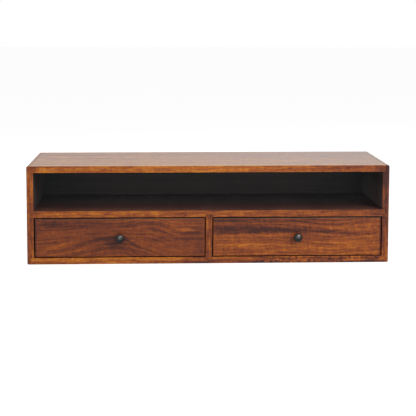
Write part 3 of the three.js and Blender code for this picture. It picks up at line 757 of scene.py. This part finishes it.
def plain_wood(name, length, seed, heart, stops, tone, ends=None, rear=None):
    """Wood that gets a thin oil or a dark stain only: the same grain, calmer and duller. The
    ends may have a painted shade, and the rear face a stain of its own."""
    finish = Finish(name)
    wood = grain(finish, length, seed, heart, sway=14.0, ring=7.0)
    patches = finish.noise(wood["run"] * 0.01, wood["across"] * 0.03 + seed,
                           wood["through"] * 0.03, 2.0, 0.5)
    value = (wood["bands"] - 0.5) * 0.6 - wood["late"] * 0.22 + (wood["line"] - 0.5) * 0.45
    value = value + (wood["fibre"] - 0.5) * 0.35 + (patches - 0.5) * 0.35 + tone
    end = end_grain(finish, length)
    value = value - end * 0.22 - wood["pore"] * 0.22
    height = wood["fibre"] * 0.6 + wood["line"] * 0.4 - wood["pore"]
    finish.relief(height, 0.14, 0.6)
    gloss = (wood["fibre"] - 0.5) * 0.14 + 0.55 + end * 0.1
    colour = finish.tint(value, stops)
    # Painted shade, cooler and darker towards the ends.
    if ends is not None:
        towards = finish.x.work("ABSOLUTE").between(INNER_RIGHT * 0.5, INNER_RIGHT)
        colour = finish.blend(towards, colour, finish.tint(value, ends))
    if rear is not None:
        turned = finish.facing[1].between(0.4, 0.6)
        colour = finish.blend(turned, colour, finish.tint(value, rear))
    return finish.set(Base_Color=colour, Roughness=gloss, IOR=1.4)


def hammered_iron():
    """Blackened iron under wax: near black in the hollows and round the rim, with a painted
    highlight in pale specks on the crown, above the knob's middle."""
    finish = Finish("hammered_black_iron")
    scale = finish.cloud(0.35, 4.0, 0.6)
    fine = finish.cloud(2.2, 3.0, 0.6)
    middle = (KNOB_LOW + KNOB_HIGH) / 2
    beside = finish.x.work("ABSOLUTE") - abs(float(middle[0]))
    # Painted highlight on the upper part of the crown.
    crown = beside.hill(0.0, 7.5) * (finish.z - float(middle[2])).hill(5.5, 6.0)
    crown = crown * finish.y.between(float(KNOB_LOW[1]) + 7.0, float(KNOB_LOW[1]) + 2.0)
    tone = scale * 0.35 + fine * 0.25 + crown * (scale.between(0.42, 0.58) * 0.26 + 0.08)
    colour = finish.tint(tone, [
        (0.15, 0.006, 0.006, 0.006), (0.34, 0.022, 0.022, 0.022), (0.52, 0.12, 0.115, 0.11),
        (0.80, 0.34, 0.33, 0.31),
    ])
    finish.relief(fine * 0.6 + scale, 0.18, 0.6)
    return finish.set(Base_Color=colour, Metallic=0.85, Roughness=fine * 0.16 + 0.31)


def plated_steel(name, shade, spin):
    """Zinc plating: pale flakes a millimetre or two across, fine scratches and dull spots."""
    finish = Finish(name)
    flakes = finish.noise(finish.x * 0.5, finish.y * 0.5, finish.z * 0.5 + spin, 2.0, 0.5)
    scratch = finish.noise(finish.x * 0.25, finish.y * 0.25, finish.z * 5.0, 2.0, 0.6)
    spots = finish.noise(finish.x * 0.12, finish.y * 0.12, finish.z * 0.12 - spin, 3.0, 0.6)
    tone = flakes * 0.45 + scratch * 0.35 + spots * 0.2
    colour = finish.tint(tone, [
        (0.30, 0.34 * shade, 0.34 * shade, 0.33 * shade),
        (0.55, 0.52 * shade, 0.52 * shade, 0.50 * shade),
        (0.75, 0.66 * shade, 0.65 * shade, 0.61 * shade),
    ])
    finish.relief(scratch * 0.6 + flakes * 0.4, 0.03, 0.5)
    return finish.set(Base_Color=colour, Metallic=0.9, Roughness=scratch * 0.2 + 0.24)


# ---- the boards' own figures ----

def in_mouth(finish, mouth):
    """1 on the walls, floor and ceiling of a mouth of the case and 0 elsewhere: inside the
    mouth's outline, a little behind the front edge."""
    x, z = finish.x, finish.z
    left, right, low, high = mouth
    wide = x.between(left - 0.5, left - 0.2) * x.between(right + 0.2, right + 0.5, 1.0, 0.0)
    tall = z.between(low - 0.5, low - 0.2) * z.between(high + 0.2, high + 0.5, 1.0, 0.0)
    return finish.y.between(FRONT_Y + 0.6, FRONT_Y + 1.6) * wide * tall


def in_openings(finish):
    """1 on the case's own wood inside the drawer openings."""
    return in_mouth(finish, MOUTHS[1]) + in_mouth(finish, MOUTHS[2])


def behind_face(finish):
    """1 on a drawer front's edges and back, behind its rounded face."""
    edge = finish.y.between(FRONT_Y + FRONT_EASE, FRONT_Y + FRONT_EASE + 1.0)
    return edge.work("MAXIMUM", finish.facing[2].between(0.45, 0.80))


def strokes(finish, middle_x, middle_z, marks):
    """Long soft marks in the figure of a board. Each is (x, z, length, width, slope, tone): a
    hill along its own line times a hill across it, with noise that makes its outline ragged."""
    x, z = finish.x - middle_x, finish.z - middle_z
    rag = (finish.noise(x * 0.045, z * 0.09, finish.y * 0.05, 3.0, 0.65) - 0.5) * 2.0
    total = None
    for at_x, at_z, length, width, slope, tone in marks:
        across = (z - at_z) - (x - at_x) * slope + rag * (width * 0.4 + 1.5)
        along = (x - at_x) + rag * length * 0.7
        mark = across.plateau(0.0, width) * along.hill(0.0, length) * tone
        total = mark if total is None else total + mark
    return total


def arch(finish, high, left_reach, right_reach):
    """A hill along x near the middle of the left front, wider on its left than on its right."""
    x = finish.x + (DRAWER_X + 5.0)
    left = x.work("MINIMUM", 0.0).hill(0.0, left_reach)
    return left * x.work("MAXIMUM", 0.0).hill(0.0, right_reach) * high


def left_front_warp(finish):
    """Lines of the left front climb from its lower left corner to a crest near the knob, fall
    steeply right of it, tilted the more round x = -150, and sag again from the upper right. All
    but the tilt fades towards the upper edge."""
    z = finish.z - DRAWER_Z
    sag = finish.x.hill(-140.0, 70.0) * z.between(-60.0, 50.0, 0.2, 1.0) * 15.0
    tilt = (finish.x + 150.0) * finish.x.hill(-150.0, 60.0) * 0.35
    return tilt - (arch(finish, 52.0, 165.0, 64.0) * z.between(-62.0, 56.0, 1.0, 0.06)) - sag


def left_front_marks(finish):
    """Darker wood along the crest, the knob's shadow painted below it, wisps and paler flames at
    the right, painted shade of the gap at the left end and a painted highlight along the upper
    edge.
    """
    crest = (finish.z - DRAWER_Z) - arch(finish, 52.0, 165.0, 64.0) + 52.0
    shown = finish.x.between(-440.0, -370.0) * finish.x.between(-235.0, -190.0, 1.0, 0.0)
    dark = crest.hill(1.0, 5.0) * shown * -0.26 + crest.hill(-12.0, 5.0) * shown * 0.14
    return dark + strokes(finish, -DRAWER_X, DRAWER_Z, [
        # The first two marks are the knob's shadow, painted below and to the left of it.
        (0, -22, 34, 15, 0.0, -0.20), (-24, -12, 36, 10, 0.1, -0.24),
        (-205, 42, 64, 10, 0.0, -0.30), (-30, 44, 130, 5, 0.0, -0.18),
        (-120, 34, 40, 6, 0.1, -0.08), (-199, -29, 60, 5, 0.33, 0.18),
        (-170, -50, 50, 4, 0.1, 0.08), (-128, -42, 36, 4, 0.45, 0.06),
        (62, -9, 24, 4, -0.6, 0.05), (122, 20, 24, 6, -0.35, -0.20),
        (84, -30, 34, 3.5, -0.5, 0.10), (130, -46, 34, 3.5, -0.4, 0.12),
        (140, -6, 50, 8, 0.0, -0.12), (150, -28, 50, 10, -0.3, -0.02),
        (177, 6, 26, 3.5, -0.3, 0.16), (126, -22, 22, 3.5, -0.4, 0.16),
        (205, -22, 24, 3, 0.0, 0.12), (73, 7, 14, 5, -0.2, -0.14),
        (46, -36, 26, 4, -0.4, -0.14), (36, -12, 26, 5, -0.35, 0.12),
        (125, 27, 28, 4, -0.4, 0.04), (140, 3, 12, 5, 0.0, -0.10),
        # (-256, 0, ...) is painted shade of the gap at the left end; (120, 57, ...) a painted
        # highlight.
        (-75, 0, 40, 60, 0.0, -0.04), (-256, 0, 4, 90, 0.0, -0.40),
        (120, 57, 140, 1.5, 0.0, 0.14), (194, 23, 40, 5, 0.0, 0.30),
        (218, 13, 40, 5, 0.0, -0.30), (165, 33, 18, 5, 0.0, 0.14),
        (166, 18, 18, 5, 0.0, -0.18), (215, -5, 36, 4, 0.0, -0.24),
        (235, 45, 34, 5, 0.0, -0.10), (242, 0, 18, 55, 0.0, -0.09),
        (240, -36, 20, 16, 0.0, -0.10), (-225, -57, 60, 3, 0.0, -0.22),
    ])


def right_front_warp(finish):
    """A long gentle wave in the stripes of the right front, which dips right of the middle."""
    x = finish.x - DRAWER_X
    return x.hill(105.0, 95.0) * 12.0 - x.hill(-80.0, 90.0) * 3.0


def right_front_marks(finish):
    """A broad dark band above the knob that runs out into a line at the right, a thin one near
    the upper edge, orange lines beside them and paler wood in the lower half, with the knob's
    shadow painted below it and painted shade of the gaps along the upper edge and right end."""
    z = finish.z - DRAWER_Z
    # The darker strip along the upper edge is painted shade of the gap above it.
    pale = z.between(9.0, -2.0) * 0.05 - z.between(54.5, 57.0) * 0.26
    return pale + strokes(finish, DRAWER_X, DRAWER_Z, [
        (-150, 25, 150, 12, 0.0, -0.30), (-20, 20, 90, 8, -0.04, -0.20),
        (130, 11, 130, 4, -0.06, -0.22), (-215, 51, 60, 5, 0.0, -0.26),
        (60, 50, 120, 4, 0.0, -0.18), (-90, 44, 110, 6, 0.0, -0.20),
        (-80, 34, 60, 3, 0.0, 0.12), (-205, 26, 60, 11, 0.0, -0.10),
        (-150, 7, 120, 3, 0.0, 0.06), (70, 8, 70, 3, -0.12, 0.13),
        (140, 23, 110, 3, 0.0, 0.12), (190, 7, 70, 4, 0.0, 0.14),
        (130, -9, 150, 7, 0.0, -0.16), (-100, -3, 140, 6, 0.0, -0.16),
        (190, -21, 70, 4, 0.02, 0.10), (215, -34, 30, 5, 0.0, -0.12),
        # (-14, -8, ...) is the knob's shadow, painted below and to the left of it.
        (-15, -41, 90, 3.5, 0.06, 0.18), (-14, -8, 22, 14, 0.0, -0.16),
        (-160, -27, 120, 13, 0.0, 0.15), (110, -50, 90, 8, 0.0, 0.12),
        # (256, 0, ...) is painted shade of the gap at the right end.
        (-200, -57, 90, 3, 0.0, -0.20), (256, 0, 4, 90, 0.0, -0.45),
        (80, 0, 60, 60, 0.0, -0.04), (-68, 28, 36, 5, 0.0, 0.12),
        (-84, 9, 36, 4, 0.0, -0.12), (8, 43, 24, 5, 0.0, -0.08),
        (-131, -4, 30, 7, 0.0, 0.07), (66, -19, 40, 3, 0.0, 0.10),
    ])


def bottom_marks(finish):
    """Dark knots, smudges and specks of the bottom board, mostly on its right half, and paler
    streaks on its left."""
    specks = finish.noise(finish.x * 0.10, finish.z * 0.14, finish.y * 0.06, 3.0, 0.65)
    specks = specks.between(0.48, 0.62) * finish.x.between(80.0, 180.0) * -0.40
    return specks + strokes(finish, 0.0, BOTTOM_Z, [
        (280, -9, 230, 2.5, 0.0, -0.16), (-40, 0, 42, 22, 0.0, -0.26),
        (160, 0, 18, 16, 0.0, -0.20), (200, -4, 10, 6, 0.0, -0.14),
        (-290, -6, 75, 6, 0.0, 0.18), (-8, -6, 34, 6, 0.0, -0.14),
        (-252, 5, 34, 6, 0.0, 0.18), (515, 6, 24, 5, 0.0, -0.12),
        (320, -3, 24, 9, 0.0, -0.22), (450, -8, 90, 3, 0.0, -0.20),
        (370, 2, 16, 14, 0.0, -0.16), (415, -2, 22, 10, 0.0, -0.14), (440, 5, 9, 5, 0.0, 0.16),
        (495, 0, 20, 16, 0.0, -0.18), (535, -2, 12, 12, 0.0, 0.08),
    ])


def shelf_marks(finish):
    """Dark flecks in the shelf's edge near its middle and its ends, with paler ones between them, a
    dark line along its lower edge that is painted shade of the gap above the drawers, and a floor
    of the niche that darkens a little to the right and is palest at its end."""
    floor = in_mouth(finish, MOUTHS[0]) * (
        finish.x.between(200.0, 450.0, 0.0, -0.08) + finish.x.between(450.0, 525.0, 0.0, 0.20))
    return floor + strokes(finish, 0.0, SHELF_Z, [
        (-524, 3, 20, 12, 0.0, -0.22), (-430, 8, 70, 2.5, 0.0, -0.18), (515, 2, 24, 14, 0.0, -0.20),
        (146, 4, 62, 7, 0.0, -0.18), (-197, 2, 18, 8, 0.0, 0.16), (72, -5, 24, 4, 0.0, 0.10),
        (-290, -2, 22, 8, 0.0, 0.12), (-165, 1, 16, 8, 0.0, 0.10), (-510, -6, 16, 6, 0.0, 0.14),
        (330, 8, 26, 4, 0.0, -0.12), (335, -7, 40, 4, 0.0, 0.10), (480, -7, 24, 4, 0.0, 0.14),
        (-2, 4, 14, 8, 0.0, 0.10), (178, 7, 26, 2.5, 0.0, -0.24), (-90, 3, 90, 8, 0.0, -0.10),
        # (-270, -10, ...) and (230, -10, ...) are painted shade of the gap along the lower edge.
        (415, 0, 18, 8, 0.0, -0.12), (-270, -10, 300, 1.6, 0.0, -0.34),
        (230, -10, 200, 1.2, 0.0, -0.20),
    ])


def top_marks(finish):
    """Darker ends of the top board's edge with flecks between them, and a painted sheen on the
    upper face that is palest beside its front edge and darkest along the wall."""
    # Painted sheen on the upper face: paler beside the front edge, darker along the wall.
    over = finish.y.between(FRONT_Y + 5.0, FRONT_Y + 60.0, 0.12, 0.0)
    over = over + finish.y.between(FRONT_Y + 180.0, REAR_Y - 20.0, 0.08, -0.04)
    edge = finish.y.between(FRONT_Y + 1.0, FRONT_Y + 3.0, 1.0, 0.0)
    return finish.facing[2].between(0.90, 0.99) * over + edge * strokes(finish, 0.0, TOP_Z, [
        (525, 0, 26, 24, 0.0, -0.22), (-534, 0, 14, 24, 0.0, -0.16), (120, 4, 120, 6, 0.0, 0.08),
        (-60, 0, 100, 12, 0.0, 0.06), (-430, 0, 150, 30, 0.0, -0.11), (390, 0, 170, 30, 0.0, -0.16),
        (-526, 3, 16, 12, 0.0, -0.12), (-503, -1, 22, 14, 0.0, 0.16), (-190, 5, 60, 5, 0.0, 0.12),
        (-85, -6, 50, 5, 0.0, -0.10), (160, -1, 36, 12, 0.0, -0.16), (255, 3, 28, 8, 0.0, -0.10),
        (450, 6, 50, 5, 0.0, -0.14), (-303, -2, 16, 8, 0.0, -0.14), (-220, -7, 40, 4, 0.0, -0.10),
        (-95, -7, 56, 4, 0.0, -0.06), (418, 3, 14, 6, 0.0, -0.16), (-478, -4, 32, 8, 0.0, 0.14),
        (-143, 5, 20, 5, 0.0, 0.12),
    ])


def right_side_marks(finish):
    """The right side's edge is darker beside the mouths and paler at its outer corner; beside the
    drawer's mouth that dark is painted shade of the gap. Its face in the niche is stained less
    deeply, most of all near the floor."""
    # Painted shade of the gap beside the drawer: darker at the inner edge below the shelf.
    below = finish.x.between(INNER_RIGHT - 2.0, CASE_HIGH[0] - 1.0, -0.48, 0.24)
    below = below * finish.z.between(SHELF_LOW[2] + 5.0, SHELF_HIGH[2] + 5.0, 1.0, 0.0)
    above = finish.x.between(INNER_RIGHT - 2.0, CASE_HIGH[0] - 1.0, -0.18, 0.02)
    above = above * finish.z.between(SHELF_LOW[2] + 5.0, SHELF_HIGH[2] + 5.0)
    edge = above + below * finish.z.between(30.0, 60.0, 0.3, 1.0)
    inside = in_mouth(finish, MOUTHS[0]) * finish.z.between(
        SHELF_HIGH[2], SHELF_HIGH[2] + 60.0, 0.80, 0.50)
    over = finish.facing[2].between(0.3, 0.9) * 0.45 + inside
    return edge + over + strokes(finish, 0.0, SHELF_Z, [
        (537, 4, 7, 6, 0.0, -0.26), (534, 112, 5, 34, 0.0, -0.14), (545, -80, 4, 32, 0.0, -0.10),
        (534, 130, 5, 10, 0.0, -0.10), (538, 84, 4, 10, 0.0, -0.12),
    ])


def left_side_marks(finish):
    """The left side's edge is darker at its outer corner, where the rounding turned from the light
    is painted shade, at its upper end and where the shelf meets it, with a paler streak along its
    middle."""
    # Painted shade on the rounded outer corner, near the front.
    corner = finish.x.between(CASE_LOW[0] + 0.5, CASE_LOW[0] + 4.5, -0.22, 0.0)
    corner = corner * finish.y.between(FRONT_Y + 4.0, FRONT_Y + 24.0, 1.0, 0.0)
    return corner + strokes(finish, 0.0, SHELF_Z, [
        (-534, 4, 7, 9, 0.0, -0.26), (-540, 60, 5, 45, 0.0, 0.07), (-542, -50, 4, 60, 0.0, 0.06),
        (-533, -60, 3, 45, 0.0, -0.14), (-540, 136, 14, 12, 0.0, -0.18),
    ])


def divider_marks(finish):
    """The divider's upper end, let into the shelf, is darker, with smudges below it."""
    return strokes(finish, 0.0, SHELF_LOW[2], [
        (0, 4, 20, 7, 0.0, -0.16), (3, -20, 6, 14, 0.0, 0.10), (-4, -52, 7, 18, 0.0, -0.10),
        (4, -92, 8, 12, 0.0, 0.10),
    ])


# ---- build ----

# Each board of the case, with the neighbours whose ends and edges it has rooms for, and its wood
boards = {
    "top_panel": (["back_panel"], show_wood(
        "top_board_wood", "x", 3.3, (60.0, 205.0),
        [(-550, 0.62), (-150, 0.67), (200, 0.62), (550, 0.54)], contrast=0.77, sway=26.0,
        blotch=0.20, marks=top_marks, polish=0.135, stained=WALL_STAIN)),
    "bottom_panel": (["back_panel", "centre_divider"], show_wood(
        "bottom_board_wood", "x", 8.1, (-40.0, -70.0),
        [(-550, 0.72), (-200, 0.69), (60, 0.57), (250, 0.54), (550, 0.56)], sway=26.0,
        blotch=0.28, curl=0.5, marks=bottom_marks, shaded=in_openings)),
    "left_side": (
        ["top_panel", "bottom_panel", "middle_shelf", "back_panel", "hanging_rail"], show_wood(
            "left_side_wood", "z", 1.7, (70.0, -590.0),
            [(0, 0.58), (150, 0.52), (200, 0.58), (300, 0.66)], sway=16.0, blotch=0.22, curl=0.55,
            marks=left_side_marks, polish=0.12, stained=WALL_STAIN, shaded=in_openings)),
    "right_side": (
        ["top_panel", "bottom_panel", "middle_shelf", "back_panel", "hanging_rail"], show_wood(
            "right_side_wood", "z", 5.9, (30.0, 600.0),
            [(0, 0.49), (60, 0.44), (110, 0.38), (150, 0.33), (190, 0.36), (228, 0.40),
             (242, 0.18), (300, 0.12)],
            sway=16.0, blotch=0.24, curl=0.55, marks=right_side_marks, polish=0.16,
            stained=WALL_STAIN, shaded=in_openings)),
    "middle_shelf": (["centre_divider"], show_wood(
        "shelf_wood", "x", 6.4, (40.0, 95.0),
        [(-550, 0.62), (0, 0.52), (300, 0.50), (550, 0.47)], sway=26.0, blotch=0.20,
        marks=shelf_marks, stained=FLOOR_STAIN, shaded=in_openings)),
    "centre_divider": ([], show_wood(
        "divider_wood", "z", 2.6, (20.0, 60.0), [(12, 0.44), (150, 0.46)], sway=14.0,
        blotch=0.30, curl=0.6, marks=divider_marks, shaded=in_openings)),
}
for name, (neighbours, finish) in boards.items():
    case_board(name, neighbours, finish)

iron = hammered_iron()
screw_zinc = plated_steel("zinc_screws", 0.9, 2.0)
plate_zinc = plated_steel("zinc_plates", 1.0, 5.0)

drawer_front("left_drawer_front", "left_drawer", show_wood(
    "left_front_wood", "front", 4.2, (-190.0, -150.0), [(-530, 0.37), (-240, 0.35), (-10, 0.41)],
    contrast=0.60, sway=14.0, ring=8.0, blotch=0.12, curl=0.30, warp=left_front_warp,
    marks=left_front_marks, shaded=behind_face, wear_and_edge_sheen=0.6))
drawer_front("right_drawer_front", "right_drawer", show_wood(
    "right_front_wood", "front", 7.7, (-260.0, -150.0), [(10, 0.44), (270, 0.47), (530, 0.49)],
    contrast=0.85, sway=10.0, ring=10.0, blotch=0.10, curl=0.5, warp=right_front_warp,
    marks=right_front_marks, shaded=behind_face, wear_and_edge_sheen=0.6))
iron_knob("left_drawer_knob", "left_drawer", 0.4, iron)
iron_knob("right_drawer_knob", "right_drawer", 2.1, iron)

# Runners and keyhole plates are screwed to the case, knobs and bottoms to their own drawer.
TO_FRONT, TO_TOP = (0, -1, 0), (0, 0, 1)
KNOB_SCREW_HEAD = 2.6         # height of its domed head
WIDE_HEAD, WIDE_SHANK = 4.0, 2.0
HEAD, SHANK = 3.5, 1.8
for name in [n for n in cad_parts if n.endswith("_screw")]:
    low, high = node_box(name)
    middle, size = (low + high) / 2, high - low
    drawer = "left_drawer" if name.startswith("left_drawer") else "right_drawer"
    if "runner" in name:
        way = (-1, 0, 0) if "left_runner" in name else (1, 0, 0)
        head = (high[0] if way[0] < 0 else low[0], middle[1], middle[2])
        screw(name, "case", screw_zinc, head, way, size[0], HEAD, SHANK)
    elif "knob" in name:
        head = (middle[0], high[1] - KNOB_SCREW_HEAD, middle[2])
        length = size[1] - KNOB_SCREW_HEAD
        screw(name, drawer, screw_zinc, head, TO_FRONT, length, WIDE_HEAD, WIDE_SHANK, domed=True)
    elif "bottom" in name:
        head = (middle[0], middle[1], low[2])
        screw(name, drawer, screw_zinc, head, TO_TOP, size[2], HEAD, SHANK)
    else:
        head = (middle[0], high[1], middle[2])
        screw(name, "case", screw_zinc, head, TO_FRONT, size[1], HEAD, SHANK)

# CAD nodes that stay get their finish here.
kept = {
    "back_panel": plain_wood("stained_back_panel", "front", 1.1, (-300.0, 160.0), BACK_STAIN,
                             0.5, ends=END_SHADE_PAINT, rear=REAR_STAIN),
    "hanging_rail": plain_wood("stained_rail", "front", 9.4, (120.0, 210.0), REAR_STAIN, 0.6),
}
for node in ("left_hanger", "right_hanger"):
    kept[node] = plate_zinc
for drawer, seed in (("left_drawer", 2.2), ("right_drawer", 6.6)):
    side_x = -DRAWER_X if drawer == "left_drawer" else DRAWER_X
    box = {
        "left_side": ("upright", seed, (20.0, side_x - 320.0), 0.52),
        "right_side": ("upright", seed + 1.3, (120.0, side_x + 300.0), 0.48),
        "back": ("front", seed + 2.1, (40.0, 200.0), 0.5),
        "bottom": ("x", seed + 3.4, (30.0, -60.0), 0.6),
        "left_runner": ("upright", seed + 4.2, (10.0, 0.0), 0.44),
        "right_runner": ("upright", seed + 4.2, (10.0, 0.0), 0.44),
    }
    for part, (length, own_seed, heart, tone) in box.items():
        node = f"{drawer}_{part}"
        kept[node] = plain_wood(node + "_wood", length, own_seed, heart, BOX_WOOD, tone)
for node, finish in kept.items():
    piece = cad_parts[node]
    piece.data.materials.clear()
    piece.data.materials.append(finish)


# ---- floor, world, lamps and camera ----

def white_for_camera(tree, shade, share):
    """Adds the white that the camera and mirrors see to a shader for every other ray."""
    path = tree.nodes.new("ShaderNodeLightPath")
    seen = Field(tree, path.outputs["Is Camera Ray"]).work(
        "MAXIMUM", Field(tree, path.outputs["Is Glossy Ray"]))
    seen = seen.work("MAXIMUM", Field(tree, path.outputs["Is Transmission Ray"]))
    mix = tree.nodes.new("ShaderNodeMixShader")
    feed(tree, mix.inputs[0], seen)
    tree.links.new(shade, mix.inputs[1])
    tree.links.new(share, mix.inputs[2])
    return mix.outputs[0]


FLOOR_REACH = 30.0    # metres from the console's middle to the floor's edge


def white_floor():
    """A pale floor. To the camera it glows just enough to reach white in the open, so only the
    console's own shadow stays grey; to every other ray it is plain pale paint."""
    finish = Finish("studio_floor")
    tree = finish.tree
    speck = finish.cloud(0.02, 2.0, 0.5)
    finish.set(Base_Color=finish.tint(speck, [(0.0, 0.78, 0.78, 0.78), (1.0, 0.82, 0.82, 0.82)]),
               Roughness=0.9, IOR=1.3)
    glow, matt, both = (tree.nodes.new("ShaderNode" + kind)
                        for kind in ("Emission", "BsdfDiffuse", "AddShader"))
    glow.inputs["Strength"].default_value = 0.86
    matt.inputs["Color"].default_value = (0.30, 0.30, 0.30, 1)
    tree.links.new(glow.outputs[0], both.inputs[0])
    tree.links.new(matt.outputs[0], both.inputs[1])
    surface = white_for_camera(tree, finish.shader.outputs[0], both.outputs[0])
    tree.links.new(surface, tree.nodes["Material Output"].inputs["Surface"])
    reach = FLOOR_REACH
    corners = [(-reach, -reach, 0), (reach, -reach, 0), (reach, reach, 0), (-reach, reach, 0)]
    mesh = bpy.data.meshes.new("studio_floor")
    mesh.from_pydata(corners, [], [(0, 1, 2, 3)])
    mesh.materials.append(finish.material)
    floor = bpy.data.objects.new("studio_floor", mesh)
    bpy.context.scene.collection.objects.link(floor)


def studio_world(strength):
    """An even grey sky of a given strength, which the camera sees as white."""
    world = bpy.data.worlds.new("studio")
    world.use_nodes = True
    tree = world.node_tree
    plain = tree.nodes["Background"]
    plain.inputs["Color"].default_value = (1, 1, 1, 1)
    plain.inputs["Strength"].default_value = strength
    white = tree.nodes.new("ShaderNodeBackground")
    white.inputs["Color"].default_value = (1, 1, 1, 1)
    surface = white_for_camera(tree, plain.outputs[0], white.outputs[0])
    tree.links.new(surface, tree.nodes["World Output"].inputs["Surface"])
    bpy.context.scene.world = world


def soft_lamp(name, direction, distance, size, level, mirrored=False):
    """A square soft box that looks at the console from a direction. level is the share of a
    plain white's brightness that it gives a surface square to it: the power is that share times
    pi squared times the distance squared."""
    lamp = bpy.data.lights.new(name, "AREA")
    lamp.shape = "SQUARE"
    lamp.size = size
    lamp.energy = level * math.pi ** 2 * distance ** 2
    holder = bpy.data.objects.new(name, lamp)
    way = Vector(direction).normalized()
    holder.location = Vector((0, 0, 0.15)) + way * distance
    holder.rotation_mode = "QUATERNION"
    holder.rotation_quaternion = way.to_track_quat("Z", "Y")
    holder.visible_camera = False
    holder.visible_glossy = mirrored
    bpy.context.scene.collection.objects.link(holder)


white_floor()
studio_world(0.38)
soft_lamp("key", (0.46, -0.66, 0.60), 3.4, 1.5, 0.61, mirrored=True)
soft_lamp("fill", (-0.70, -0.60, 0.40), 3.4, 1.8, 0.08)
soft_lamp("low_fill", (0.05, -0.96, 0.26), 3.4, 1.8, 0.20)
soft_lamp("rear_fill", (-0.35, 0.90, 0.28), 3.4, 1.8, 0.50)

# The place and lens that bring the straight edges of the case where the photograph has them
camera = bpy.data.objects.new("camera", bpy.data.cameras.new("camera"))
camera.data.sensor_width = 36.0
camera.data.lens = 91.66
camera.data.shift_y = -0.1923
camera.location = (-0.1385, -3.3325, 0.727)
camera.rotation_euler = [math.radians(angle) for angle in (84.38, -0.122, -2.422)]
bpy.context.scene.collection.objects.link(camera)
bpy.context.scene.camera = camera
bpy.context.scene.view_settings.view_transform = "Standard"
